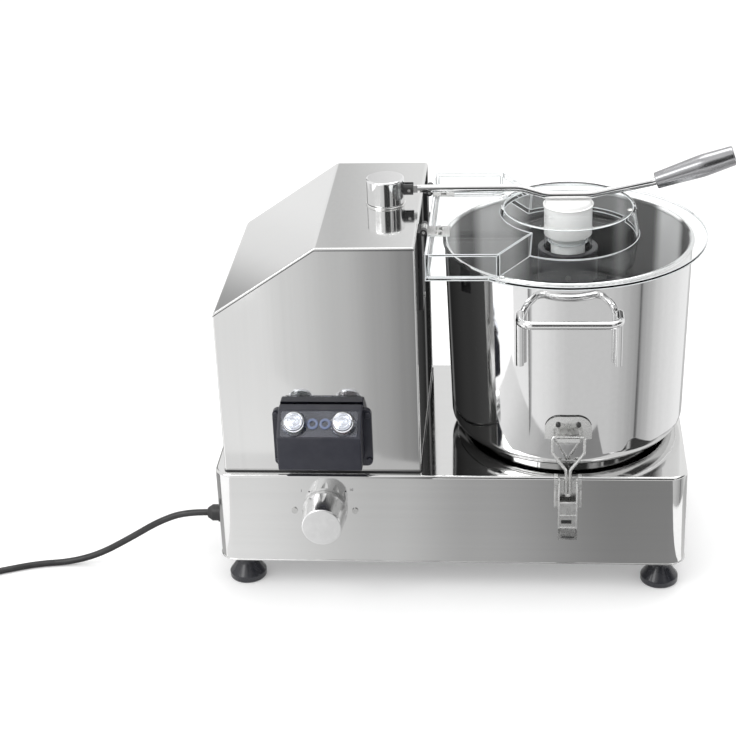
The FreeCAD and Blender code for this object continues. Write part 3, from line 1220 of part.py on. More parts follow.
# Mains cord, from its gland to the plug
def make_cord():
    gland = turned("cord_gland", [
        ("0", "-gland_thread"), ("gland_body", "-gland_thread"), ("gland_body", "0"), ("gland_nut",
                                                                                       "0"),
        ("gland_nut", "gland_nut_length"), ("gland_body * 1.1", "gland_nut_length"),
        ("gland_body * 1.1", "gland_length * 0.7"), ("cord_radius * 1.5", "gland_length", "screw_head"),
        ("0", "gland_length")])
    keep(place(gland, "base_left", "gland_y", "gland_z", Y_AXIS, "-90"))

    exit_x, y, z = value("base_left - gland_length"), value("gland_y"), value("gland_z")
    floor = value("cord_radius")
    lead = [(exit_x, y, z), (exit_x - 24, y, z), (-335, -84.6, 55), (-370, -85.5, 33), (-405, -86, 13),
            (-438, -87, floor), (-473, -92, floor), (-508, -106, floor), (-543, -121, floor),
            (-578, -128, floor), (-612, -129, floor)]
    runs = [make_tube("cord_lead", lead)]

    turn = value("coil_radius + cord_radius")
    coil_x, coil_y = lead[-1][0], lead[-1][1] + turn
    middle, half = "coil_radius", "cord_radius * 2"
    coil = turned("cord_coil", [
        (f"{middle} - {half}", "0", "cord_radius"), (f"{middle} + {half}", "0", "cord_radius"),
        (f"{middle} + {half}", "cord_radius * 6", "cord_radius"), (f"{middle} - {half}",
                                                                   "cord_radius * 6", "cord_radius")])
    keep(place(coil, str(coil_x), str(coil_y)))

    x, top, axle = coil_x + turn, floor * 5, value("plug_radius")
    tail = [(x, coil_y, top), (x + 1, coil_y + 18, top), (x + 1, coil_y + 36, axle)]
    runs.append(make_tube("cord_tail", tail))
    keep(group("power_cord", runs))
    plug = new_body("cord_plug")
    profile = [("0", "0"), ("cord_radius * 1.3", "0"), ("cord_radius * 1.7", "plug_relief"),
               ("plug_radius * 0.7", "plug_relief", "plug_radius / 3"),
               ("plug_radius", "plug_relief * 1.5", "plug_radius / 2"),
               ("plug_radius", "plug_relief + plug_body"), ("0", "plug_relief + plug_body")]
    sketch = sketch_on(plug, "XZ_Plane")
    chain(sketch, profile)
    spin(plug, sketch)
    sketch = sketch_on(plug, "XY_Plane", "plug_relief + plug_body")
    for side in "-+":
        circle(sketch, f"{side}plug_pitch / 2", "0", "plug_pin")
    pad(plug, sketch, "plug_pin_length")
    keep(place(plug, str(x + 1), str(coil_y + 36), "plug_radius", X_AXIS, "-90"))


def make_tube(label, points):
    """Cord along straight runs joined by arcs as large as the runs allow; prints the radii."""
    route = [FreeCAD.Vector(*p) for p in points]
    radii = []
    for before, corner, after in zip(route, route[1:], route[2:]):
        turn = math.pi - (before - corner).getAngle(after - corner)
        run = min((corner - before).Length, (after - corner).Length)
        radii.append(0.45 * run / math.tan(turn / 2))
    path = bent_wire(route, radii)
    solid = swept(path, value("cord_radius"))
    ratio = solid.Volume / (math.pi * value("cord_radius") ** 2 * path.Length)
    print(label, "length", round(path.Length, 1), "volume ratio", round(ratio, 5), "radii",
          [round(r) for r in radii])
    return feature(label, solid)


make_base()
make_housing()
screws = make_switch() + make_knob()
make_drive()
make_shaft()
make_blades()
make_bowl()
rivets, latch_pins = [], []
for where, half_turn in (("front", 0), ("rear", 180)):
    make_handle(where, half_turn)
    rivets.append(make_catch(where, half_turn))
    latch_pins.append(make_latch(where, half_turn))
keep(group("catch_rivets", rivets))
keep(group("latch_pins", latch_pins))
make_lid()
keep(group("case_screws", screws + make_hinges()))
make_arm()
make_cord()

doc.recompute()
for item in doc.Objects:
    if "Invalid" in item.State or "Error" in item.State:
        raise ValueError(item.Label + " did not build")
for node in NODES:
    if node.Shape.isNull() or not node.Shape.isValid():
        raise ValueError(node.Label + " has no valid shape")

os.makedirs("parts", exist_ok=True)
for node in NODES:
    node.Shape.exportStep(f"parts/{node.Label}.step")
print(len(NODES), "pieces")
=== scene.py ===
"""A table-top bowl cutter in a pale studio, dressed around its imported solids."""

import json
import logging
import math
from collections.abc import Sequence
from dataclasses import dataclass
from enum import Enum

import bmesh
import bpy
from mathutils import Matrix, Vector


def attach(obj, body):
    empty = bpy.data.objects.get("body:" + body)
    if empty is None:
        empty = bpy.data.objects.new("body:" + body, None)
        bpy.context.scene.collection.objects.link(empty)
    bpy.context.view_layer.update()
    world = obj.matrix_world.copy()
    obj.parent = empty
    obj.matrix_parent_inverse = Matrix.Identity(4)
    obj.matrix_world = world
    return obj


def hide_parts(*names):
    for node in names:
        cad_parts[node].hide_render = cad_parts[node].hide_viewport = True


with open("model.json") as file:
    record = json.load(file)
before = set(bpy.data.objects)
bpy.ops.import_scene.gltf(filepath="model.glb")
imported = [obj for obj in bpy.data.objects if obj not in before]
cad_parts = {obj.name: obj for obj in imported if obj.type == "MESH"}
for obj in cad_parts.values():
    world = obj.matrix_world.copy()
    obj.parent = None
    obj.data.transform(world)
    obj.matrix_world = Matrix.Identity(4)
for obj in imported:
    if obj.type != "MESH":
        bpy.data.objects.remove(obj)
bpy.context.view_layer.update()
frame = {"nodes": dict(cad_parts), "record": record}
LOG = logging.getLogger("bowl_cutter")
MM = 0.001
TURN = 2 * math.pi
TO_FRONT = Matrix.Rotation(math.radians(90), 4, "X")
Pair = tuple[float, float]
Point = tuple[float, float, float]
Profile = Sequence[Pair]
Stops = Sequence[Pair]


class Side(Enum):
    """Side of the bowl, with the turn that takes a piece of its front there."""

    FRONT = Matrix.Rotation(0.0, 4, "Z")
    REAR = Matrix.Rotation(TURN / 2, 4, "Z")


class Grain(Enum):
    """Stretch of a surface's grain along X, Y and Z, in strokes per metre."""

    EVEN = (900.0, 900.0, 900.0)
    ACROSS = (14.0, 900.0, 900.0)
    UPRIGHT = (900.0, 900.0, 14.0)
    DEEP = (900.0, 14.0, 900.0)


# Shader nodes that several finishes share


class NodeSheet:
    """Adds nodes to one shader tree and links them."""

    def __init__(self, tree: bpy.types.NodeTree) -> None:
        """Takes the tree to work in.

        Args:
            tree: The material's, world's or group's node tree.
        """
        self.tree = tree

    def add(self, kind: str, **settings: object) -> bpy.types.Node:
        """Adds one node.

        Args:
            kind: The node's Blender type name.
            settings: Attributes to set on it.

        Returns:
            The new node.
        """
        node = self.tree.nodes.new(kind)
        for name, value in settings.items():
            setattr(node, name, value)
        return node

    def feed(self, node: bpy.types.Node, socket: str | int, source: object) -> None:
        """Gives an input a link from a socket, or a plain value.

        Args:
            node: The node that is fed.
            socket: The input's name or number.
            source: An output socket, a number, a colour or a vector.
        """
        if isinstance(source, bpy.types.NodeSocket):
            self.tree.links.new(source, node.inputs[socket])
        else:
            node.inputs[socket].default_value = source

    def noise(self, vector: object, scale: float, detail: float = 3.0,
              rough: float = 0.55) -> bpy.types.NodeSocket:
        """Adds a noise texture.

        Args:
            vector: Socket with the point that it reads.
            scale: Its scale.
            detail: Its octaves.
            rough: How strong the finer octaves are.

        Returns:
            Its value, from 0 to 1.
        """
        node = self.add("ShaderNodeTexNoise")
        self.feed(node, "Vector", vector)
        self.feed(node, "Scale", scale)
        self.feed(node, "Detail", detail)
        self.feed(node, "Roughness", rough)
        return node.outputs["Fac"]

    def blend(self, factor: object, low: object, high: object) -> bpy.types.NodeSocket:
        """Adds a colour mix.

        Args:
            factor: Share of the second colour.
            low: First colour.
            high: Second colour.

        Returns:
            The mixed colour.
        """
        node = self.add("ShaderNodeMix", data_type="RGBA")
        self.feed(node, 0, factor)
        self.feed(node, 6, low)
        self.feed(node, 7, high)
        return node.outputs[2]

    def spread(self, value: object, low: float, high: float, start: float = 0.0,
               end: float = 1.0) -> bpy.types.NodeSocket:
        """Adds a node that maps one range of a value to another.

        Args:
            value: The socket that is mapped.
            low: Result at the range's start.
            high: Result at the range's end.
            start: The range's start.
            end: The range's end.

        Returns:
            The mapped value.
        """
        node = self.add("ShaderNodeMapRange")
        self.feed(node, "Value", value)
        self.feed(node, "From Min", start)
        self.feed(node, "From Max", end)
        self.feed(node, "To Min", low)
        self.feed(node, "To Max", high)
        return node.outputs["Result"]

    def sum(self, first: object, second: object, kind: str = "ADD") -> bpy.types.NodeSocket:
        """Adds a math node.

        Args:
            first: First value.
            second: Second value.
            kind: The operation's Blender name.

        Returns:
            The result.
        """
        node = self.add("ShaderNodeMath", operation=kind)
        self.feed(node, 0, first)
        self.feed(node, 1, second)
        return node.outputs[0]

    def vector(self, kind: str, *inputs: object, **named: object) -> bpy.types.Node:
        """Adds a vector math node.

        Args:
            kind: The operation's Blender name.
            inputs: What its first inputs take, in order.
            named: What its other inputs take, by name.

        Returns:
            The node.
        """
        node = self.add("ShaderNodeVectorMath", operation=kind)
        for socket, source in [*enumerate(inputs), *named.items()]:
            self.feed(node, socket, source)
        return node

    def ramp(self, place: object, stops: Stops, kind: str = "LINEAR") -> bpy.types.NodeSocket:
        """Adds a ramp of greys.

        Args:
            place: Socket with the place along the ramp.
            stops: Place and value of each stop.
            kind: The interpolation's Blender name.

        Returns:
            The ramp's value.
        """
        node = self.add("ShaderNodeValToRGB")
        node.color_ramp.interpolation = kind
        for at, _ in stops[2:]:
            node.color_ramp.elements.new(at)
        for element, (at, value) in zip(node.color_ramp.elements, stops):
            element.position = at
            element.color = (value, value, value, 1.0)
        self.feed(node, 0, place)
        return node.outputs[0]


def new_material(name: str) -> tuple[bpy.types.Material, NodeSheet]:
    """Makes a material and returns it with its node sheet."""
    material = bpy.data.materials.new(name)
    material.use_nodes = True
    return material, NodeSheet(material.node_tree)


class Effects:
    """Node groups for grain, handling marks, edges lightened by wear and painted highlight, and dust, each
    built once.
    """

    def __init__(self) -> None:
        """Builds every group."""
        self.strokes = self._group("Strokes", [("Vector", "NodeSocketVector"),
                                               ("Stretch", "NodeSocketVector")],
                                   ["Height", "Tone"])
        self._strokes()
        self.marks = self._group("Handling marks", [("Vector", "NodeSocketVector"),
                                                    ("Scale", "NodeSocketFloat")],
                                 ["Haze"])
        self._marks()
        self.pebble = self._group("Moulded grain", [("Vector", "NodeSocketVector"),
                                                    ("Scale", "NodeSocketFloat")],
                                  ["Height"])
        self._pebble()
        self.edges = self._group("Edge wear and highlight", [("Vector", "NodeSocketVector"), ("Width", "NodeSocketFloat")],
                                 ["Worn"])
        self._edges()
        self.dust = self._group("Dust", [("Vector", "NodeSocketVector"), ("Scale", "NodeSocketFloat")],
                                ["Cover"])
        self._dust()

    def _group(self, name: str, inputs: Sequence[tuple[str, str]],
               outputs: Sequence[str]) -> bpy.types.NodeTree:
        """Makes an empty group with its sockets.

        Args:
            name: The group's name.
            inputs: Name and type of each input.
            outputs: Names of its value outputs.

        Returns:
            The group.
        """
        group = bpy.data.node_groups.new(name, "ShaderNodeTree")
        for label, kind in inputs:
            group.interface.new_socket(label, in_out="INPUT", socket_type=kind)
        for label in outputs:
            group.interface.new_socket(label, in_out="OUTPUT", socket_type="NodeSocketFloat")
        return group

    def _ends(self, group: bpy.types.NodeTree) -> tuple[NodeSheet, bpy.types.Node, bpy.types.Node]:
        """Adds a group's input and output nodes and returns the sheet with both."""
        sheet = NodeSheet(group)
        return sheet, sheet.add("NodeGroupInput"), sheet.add("NodeGroupOutput")

    def _strokes(self) -> None:
        """Fine lines of a brushed, rolled or ground sheet."""
        sheet, inlet, outlet = self._ends(self.strokes)
        scaled = sheet.vector("MULTIPLY", inlet.outputs["Vector"], inlet.outputs["Stretch"])
        fine = sheet.noise(scaled.outputs[0], 1.0, 4.0, 0.7)
        wide = sheet.noise(scaled.outputs[0], 0.23, 2.0, 0.5)
        sheet.feed(outlet, "Height", sheet.sum(fine, wide, "MULTIPLY"))
        sheet.feed(outlet, "Tone", sheet.spread(wide, 0.0, 1.0, 0.3, 0.7))

    def _marks(self) -> None:
        """Faint haze that wiping and handling leave on a smooth surface."""
        sheet, inlet, outlet = self._ends(self.marks)
        scaled = sheet.vector("SCALE", inlet.outputs["Vector"], Scale=inlet.outputs["Scale"])
        cloud = sheet.noise(scaled.outputs[0], 1.0, 5.0, 0.6)
        wipe = sheet.noise(scaled.outputs[0], 3.1, 2.0, 0.4)
        both = sheet.sum(sheet.spread(cloud, 0.0, 1.0, 0.38, 0.72), wipe, "MULTIPLY")
        sheet.feed(outlet, "Haze", both)

    def _pebble(self) -> None:
        """Fine pebbled grain of moulded plastic or rubber."""
        sheet, inlet, outlet = self._ends(self.pebble)
        cells = sheet.add("ShaderNodeTexVoronoi", feature="SMOOTH_F1")
        sheet.feed(cells, "Vector", inlet.outputs["Vector"])
        sheet.feed(cells, "Scale", inlet.outputs["Scale"])
        fine = sheet.noise(inlet.outputs["Vector"], 2600.0, 2.0)
        sheet.feed(outlet, "Height", sheet.sum(cells.outputs["Distance"], fine, "MULTIPLY"))

    def _edges(self) -> None:
        """Mask along outer edges, broken up by noise, where edges are lightened: partly wear, partly painted
        highlight.
        """
        sheet, inlet, outlet = self._ends(self.edges)
        rounded = sheet.add("ShaderNodeBevel", samples=4)
        sheet.feed(rounded, "Radius", inlet.outputs["Width"])
        flat = sheet.add("ShaderNodeNewGeometry")
        facing = sheet.vector("DOT_PRODUCT", rounded.outputs[0], flat.outputs["Normal"])
        away = sheet.spread(facing.outputs["Value"], 1.0, 0.0, 0.75, 0.98)
        broken = sheet.spread(sheet.noise(inlet.outputs["Vector"], 160.0, 4.0), 0.2, 1.0, 0.35, 0.6)
        sheet.feed(outlet, "Worn", sheet.sum(away, broken, "MULTIPLY"))

    def _dust(self) -> None:
        """Uneven film of flour dust, thicker on faces that look up."""
        sheet, inlet, outlet = self._ends(self.dust)
        up = sheet.add("ShaderNodeSeparateXYZ")
        flat = sheet.add("ShaderNodeNewGeometry")
        sheet.feed(up, 0, flat.outputs["Normal"])
        lying = sheet.spread(up.outputs[2], 0.15, 1.0, -0.2, 0.9)
        scaled = sheet.vector("SCALE", inlet.outputs["Vector"], Scale=inlet.outputs["Scale"])
        cloud = sheet.spread(sheet.noise(scaled.outputs[0], 1.0, 6.0, 0.65), 0.0, 1.0, 0.4, 0.75)
        sheet.feed(outlet, "Cover", sheet.sum(lying, cloud, "MULTIPLY"))


# Finishes


@dataclass(frozen=True)
class Finish:
    """What every finish has: a name, a colour and a roughness."""

    name: str
    colour: Point
    rough: float = 0.4

    def build(self, effects: Effects) -> bpy.types.Material:
        """Makes the material.

        Args:
            effects: The shared node groups.

        Returns:
            The finished material.
        """
        material, sheet = new_material(self.name)
        shader = material.node_tree.nodes["Principled BSDF"]
        point = sheet.add("ShaderNodeTexCoord").outputs["Object"]
        shader.inputs["Base Color"].default_value = (*self.colour, 1.0)
        shader.inputs["Roughness"].default_value = self.rough
        self.dress(sheet, shader, point, effects)
        return material

    def dress(self, sheet: NodeSheet, shader: bpy.types.Node, point: bpy.types.NodeSocket,
              effects: Effects) -> None:
        """Adds the nodes of this kind of finish.

        Args:
            sheet: The material's node sheet.
            shader: Its Principled shader.
            point: Socket with the object's own coordinates.
            effects: The shared node groups.
        """

    def effect(self, sheet: NodeSheet, group: bpy.types.NodeTree, point: bpy.types.NodeSocket,
               **values: object) -> bpy.types.Node:
        """Places a shared group.

        Args:
            sheet: The material's node sheet.
            group: The shared group.
            point: Socket with the object's own coordinates.
            values: The group's other inputs by name.

        Returns:
            The group's node.
        """
        node = sheet.add("ShaderNodeGroup", node_tree=group)
        sheet.feed(node, "Vector", point)
        for name, value in values.items():
            sheet.feed(node, name, value)
        return node

    def bump(self, sheet: NodeSheet, shader: bpy.types.Node, height: object, strength: float,
             reach: float) -> None:
        """Feeds a height to the shader's normal.

        Args:
            sheet: The material's node sheet.
            shader: Its Principled shader.
            height: Socket with the height.
            strength: The bump's strength.
            reach: The bump's distance in metres.
        """
        node = sheet.add("ShaderNodeBump")
        sheet.feed(node, "Strength", strength)
        sheet.feed(node, "Distance", reach)
        sheet.feed(node, "Height", height)
        sheet.feed(shader, "Normal", node.outputs[0])


@dataclass(frozen=True)
class Metal(Finish):
    """Bare metal: rolled, brushed, ground or polished."""

    grain: Grain = Grain.EVEN
    depth: float = 0.02
    haze: float = 0.1
    tone: float = 0.06
    worn: float = 0.0

    def dress(self, sheet: NodeSheet, shader: bpy.types.Node, point: bpy.types.NodeSocket,
              effects: Effects) -> None:
        """Adds strokes, handling haze and edges lightened by wear and painted highlight to the metal."""
        shader.inputs["Metallic"].default_value = 1.0
        strokes = self.effect(sheet, effects.strokes, point, Stretch=self.grain.value)
        marks = self.effect(sheet, effects.marks, point, Scale=22.0)
        dark = tuple(c * (1 - self.tone) for c in self.colour)
        colour = sheet.blend(strokes.outputs["Tone"], (*dark, 1.0), (*self.colour, 1.0))
        # lighter edges: partly wear, partly painted highlight
        if self.worn:
            edges = self.effect(sheet, effects.edges, point, Width=self.worn)
            colour = sheet.blend(edges.outputs["Worn"], colour, (0.92, 0.92, 0.91, 1.0))
        sheet.feed(shader, "Base Color", colour)
        rough = sheet.sum(sheet.spread(strokes.outputs["Tone"], self.rough * 0.85, self.rough * 1.15),
                          sheet.spread(marks.outputs["Haze"], 0.0, self.haze))
        sheet.feed(shader, "Roughness", rough)
        self.bump(sheet, shader, strokes.outputs["Height"], self.depth, 0.0002)


@dataclass(frozen=True)
class BowlMetal(Metal):
    """Polished outside. Its inside is satin and less metallic, with painted reflections: upright bands of grey
    round its axis.
    """

    axis_at: float = 0.0987
    inner_metal: float = 0.25
    inner_rough: float = 0.14
    bands: Profile = ((0.0, 0.95), (0.04, 0.9), (0.07, 0.1), (0.12, 0.06), (0.2, 0.05), (0.5, 0.5),
                      (0.513, 0.03), (0.545, 0.03), (0.56, 0.9), (0.6, 0.85), (0.615, 0.04), (0.655, 0.03),
                      (0.67, 0.25), (0.685, 0.04), (0.72, 0.05), (0.735, 0.35), (0.755, 0.08), (0.8, 0.12),
                      (0.83, 0.9), (0.88, 0.95), (0.9, 0.2), (0.93, 0.25), (0.95, 0.95))

    def dress(self, sheet: NodeSheet, shader: bpy.types.Node, point: bpy.types.NodeSocket,
              effects: Effects) -> None:
        """Adds the painted reflection bands, and a lower metallic share, inside the polished metal."""
        super().dress(sheet, shader, point, effects)
        from_axis = sheet.vector("MULTIPLY_ADD", point, (1.0, 1.0, 0.0), (-self.axis_at, 0.0, 0.0)).outputs[0]
        normal = sheet.add("ShaderNodeNewGeometry").outputs["Normal"]
        facing = sheet.vector("DOT_PRODUCT", from_axis, normal)
        inside = sheet.spread(facing.outputs["Value"], 1.0, 0.0, -0.05, -0.03)
        apart = sheet.add("ShaderNodeSeparateXYZ")
        sheet.feed(apart, 0, from_axis)
        angle = sheet.sum(apart.outputs[1], apart.outputs[0], "ARCTAN2")
        # painted reflections: grey bands by angle round the bowl's axis, mixed into the inside's colour
        painted_reflection = sheet.ramp(sheet.spread(angle, 0.0, 1.0, -TURN / 2, TURN / 2), self.bands)
        colour = shader.inputs["Base Color"].links[0].from_socket
        sheet.feed(shader, "Base Color", sheet.blend(inside, colour, painted_reflection))
        sheet.feed(shader, "Metallic", sheet.spread(inside, 1.0, self.inner_metal))
        rough = shader.inputs["Roughness"].links[0].from_socket
        sheet.feed(shader, "Roughness", sheet.sum(rough, sheet.spread(inside, 0.0, self.inner_rough)))


@dataclass(frozen=True)
class Moulded(Finish):
    """Moulded plastic, enamel or rubber."""

    pebble: float = 700.0
    depth: float = 0.12
    worn: float = 0.0
    dust: float = 0.0
    coat: float = 0.0

    def dress(self, sheet: NodeSheet, shader: bpy.types.Node, point: bpy.types.NodeSocket,
              effects: Effects) -> None:
        """Adds grain, dust, edges lightened by wear and painted highlight, and a clear coat to the plastic."""
        marks = self.effect(sheet, effects.marks, point, Scale=40.0)
        colour: object = (*self.colour, 1.0)
        light = tuple(min(1.0, c * 1.25 + 0.012) for c in self.colour)
        colour = sheet.blend(marks.outputs["Haze"], colour, (*light, 1.0))
        # paler edges: partly wear, partly painted highlight
        if self.worn:
            edges = self.effect(sheet, effects.edges, point, Width=self.worn)
            pale = tuple(min(1.0, c * 1.6 + 0.05) for c in self.colour)
            colour = sheet.blend(edges.outputs["Worn"], colour, (*pale, 1.0))
        if self.dust:
            film = self.effect(sheet, effects.dust, point, Scale=60.0)
            cover = sheet.sum(film.outputs["Cover"], self.dust, "MULTIPLY")
            colour = sheet.blend(cover, colour, (0.42, 0.41, 0.39, 1.0))
        sheet.feed(shader, "Base Color", colour)
        sheet.feed(shader, "Roughness", sheet.spread(marks.outputs["Haze"], self.rough,
                                                     min(1.0, self.rough + 0.16)))
        shader.inputs["Coat Weight"].default_value = self.coat
        shader.inputs["Coat Roughness"].default_value = 0.08
        grain = self.effect(sheet, effects.pebble, point, Scale=self.pebble)
        self.bump(sheet, shader, grain.outputs["Height"], self.depth, 0.0003)


@dataclass(frozen=True)
class Clear(Finish):
    """Clear plastic sheet that lets lamps through, with the gloss of a harder skin."""

    index: float = 1.12
    ripple: float = 0.03
    gloss: float = 0.35

    def dress(self, sheet: NodeSheet, shader: bpy.types.Node, point: bpy.types.NodeSocket,
              effects: Effects) -> None:
        """Adds a faint ripple, wipe marks and clear shadows to the sheet."""
        shader.inputs["Transmission Weight"].default_value = 1.0
        shader.inputs["IOR"].default_value = self.index
        shader.inputs["Coat Weight"].default_value = self.gloss
        shader.inputs["Coat Roughness"].default_value = 0.02
        marks = self.effect(sheet, effects.marks, point, Scale=30.0)
        sheet.feed(shader, "Roughness", sheet.spread(marks.outputs["Haze"], self.rough, self.rough + 0.05))
        self.bump(sheet, shader, sheet.noise(point, 34.0, 1.0), self.ripple, 0.001)
        tree = sheet.tree
        outlet = tree.nodes["Material Output"]
        through = sheet.add("ShaderNodeBsdfTransparent")
        sheet.feed(through, 0, (0.98, 0.98, 0.98, 1.0))
        path = sheet.add("ShaderNodeLightPath")
        mix = sheet.add("ShaderNodeMixShader")
        sheet.feed(mix, 0, path.outputs["Is Shadow Ray"])
        tree.links.new(shader.outputs[0], mix.inputs[1])
        tree.links.new(through.outputs[0], mix.inputs[2])
        tree.links.new(mix.outputs[0], outlet.inputs["Surface"])


FINISHES: dict[str, Finish] = {
    "base_steel": Metal("Rolled steel base", (0.74, 0.74, 0.735), 0.06, Grain.ACROSS, 0.004, 0.05, 0.02,
                        0.0005),
    "housing_steel": Metal("Rolled steel housing", (0.74, 0.74, 0.735), 0.07, Grain.UPRIGHT, 0.004, 0.05,
                           0.02, 0.0005),
    "inner_steel": Metal("Plain inner steel", (0.5, 0.5, 0.5), 0.34, Grain.EVEN, 0.05, 0.12, 0.12),
    "switch_black": Moulded("Blue-black switch box", (0.012, 0.013, 0.023), 0.3, 900.0, 0.05, 0.0008, 0.05),
    "black_plastic": Moulded("Black plastic", (0.012, 0.012, 0.013), 0.38, 800.0, 0.14, 0.0006, 0.06),
    "start_green": Moulded("Green key", (0.006, 0.02, 0.014), 0.16, 900.0, 0.03, coat=0.6),
    "stop_red": Moulded("Red key", (0.03, 0.008, 0.009), 0.16, 900.0, 0.03, coat=0.6),
    "clear_boot": Clear("Clear membrane", (0.93, 0.95, 1.0), 0.01, 1.2, 0.08, 0.8),
    "knob_metal": Metal("Polished knob", (0.88, 0.88, 0.88), 0.2, Grain.DEEP, 0.03, 0.06, 0.05),
    "screw_steel": Metal("Screw steel", (0.66, 0.66, 0.65), 0.24, Grain.EVEN, 0.04, 0.12, 0.12),
    "motor_paint": Moulded("Dark motor enamel", (0.05, 0.055, 0.06), 0.42, 500.0, 0.22, 0.0008, 0.2, 0.2),
    "cast_alloy": Metal("Cast alloy", (0.5, 0.5, 0.51), 0.42, Grain.EVEN, 0.16, 0.12, 0.2),
    "belt_rubber": Moulded("Belt rubber", (0.016, 0.016, 0.016), 0.66, 500.0, 0.3, 0.0, 0.14),
    "hub_grey": Moulded("Dark grey hub", (0.022, 0.022, 0.025), 0.34, 900.0, 0.06, 0.0016, 0.0, 0.1),
    "blade_steel": Metal("Ground blade steel", (0.72, 0.72, 0.72), 0.18, Grain.ACROSS, 0.08, 0.05, 0.1,
                         0.0006),
    "bowl_chrome": BowlMetal("Polished bowl steel", (0.8, 0.8, 0.8), 0.05, Grain.EVEN, 0.002, 0.035, 0.02),
    "lid_clear": Clear("Clear lid sheet", (0.97, 0.98, 0.98), 0.015, 1.09, 0.05, 0.12),
    # pale grey for beads on the lid's sharp edges: painted highlight of its clear edges
    "lid_edge_highlight": Moulded("Lid edge painted highlight", (0.62, 0.64, 0.65), 0.2, 900.0, 0.02, coat=0.5),
    "cap_white": Moulded("White acetal cap", (0.93, 0.93, 0.92), 0.26, 900.0, 0.03, 0.0, 0.03, 0.2),
    # brighter copy of the latch steel for the lever rails and cheeks: partly painted highlight
    "rail_highlight_steel": Metal("Edge steel with painted highlight", (0.95, 0.95, 0.94), 0.4, Grain.EVEN, 0.03, 0.05, 0.04),
    "rivet_dark": Metal("Dark rivet", (0.1, 0.1, 0.1), 0.3, Grain.EVEN, 0.03, 0.05, 0.1),
    "link_blue": Moulded("Pale blue link mark", (0.12, 0.15, 0.25), 0.3, 900.0, 0.03, coat=0.3),
    "hinge_steel": Metal("Hinge steel", (0.7, 0.7, 0.69), 0.2, Grain.ACROSS, 0.05, 0.08, 0.1),
    "hinge_black": Moulded("Black hinge bracket", (0.012, 0.012, 0.013), 0.34, 700.0, 0.16, 0.0006, 0.06,
                           0.15),
    "ring_steel": Metal("Ring steel", (0.84, 0.84, 0.83), 0.2, Grain.EVEN, 0.03, 0.05, 0.04),
    "arm_chrome": Metal("Chromed arm", (0.82, 0.82, 0.82), 0.06, Grain.EVEN, 0.004, 0.04, 0.02),
    "grip_steel": Metal("Brushed grip", (0.4, 0.4, 0.41), 0.24, Grain.ACROSS, 0.05, 0.07, 0.08),
    "knuckle_black": Moulded("Black knuckle", (0.014, 0.014, 0.015), 0.32, 700.0, 0.1, 0.0005, 0.05, 0.2),
    "handle_steel": Metal("Bowl handle steel", (0.78, 0.78, 0.78), 0.09, Grain.ACROSS, 0.01, 0.05, 0.03),
    "latch_steel": Metal("Bright latch steel", (0.82, 0.82, 0.81), 0.26, Grain.EVEN, 0.02, 0.07, 0.06,
                         0.0005),
    "foot_rubber": Moulded("Black foot rubber", (0.010, 0.011, 0.017), 0.24, 600.0, 0.08, 0.0008, 0.06, 0.3),
    "cord_black": Moulded("Black cord sheath", (0.012, 0.012, 0.013), 0.36, 900.0, 0.08, 0.0, 0.08),
    "plug_black": Moulded("Black plug", (0.014, 0.014, 0.015), 0.36, 700.0, 0.14, 0.0006, 0.08),
}


# Studio


@dataclass(frozen=True)
class Card:
    """A glowing card that only shiny surfaces see, which paints light and shade into their reflections.

    corners are its lower left, upper left, upper right and lower right ones. across gives a share of the
    width and the brightness there, along a share of the height and the factor there.
    """

    name: str
    corners: tuple[Point, ...]
    across: Stops
    along: Stops = ((0.0, 1.0), (1.0, 1.0))
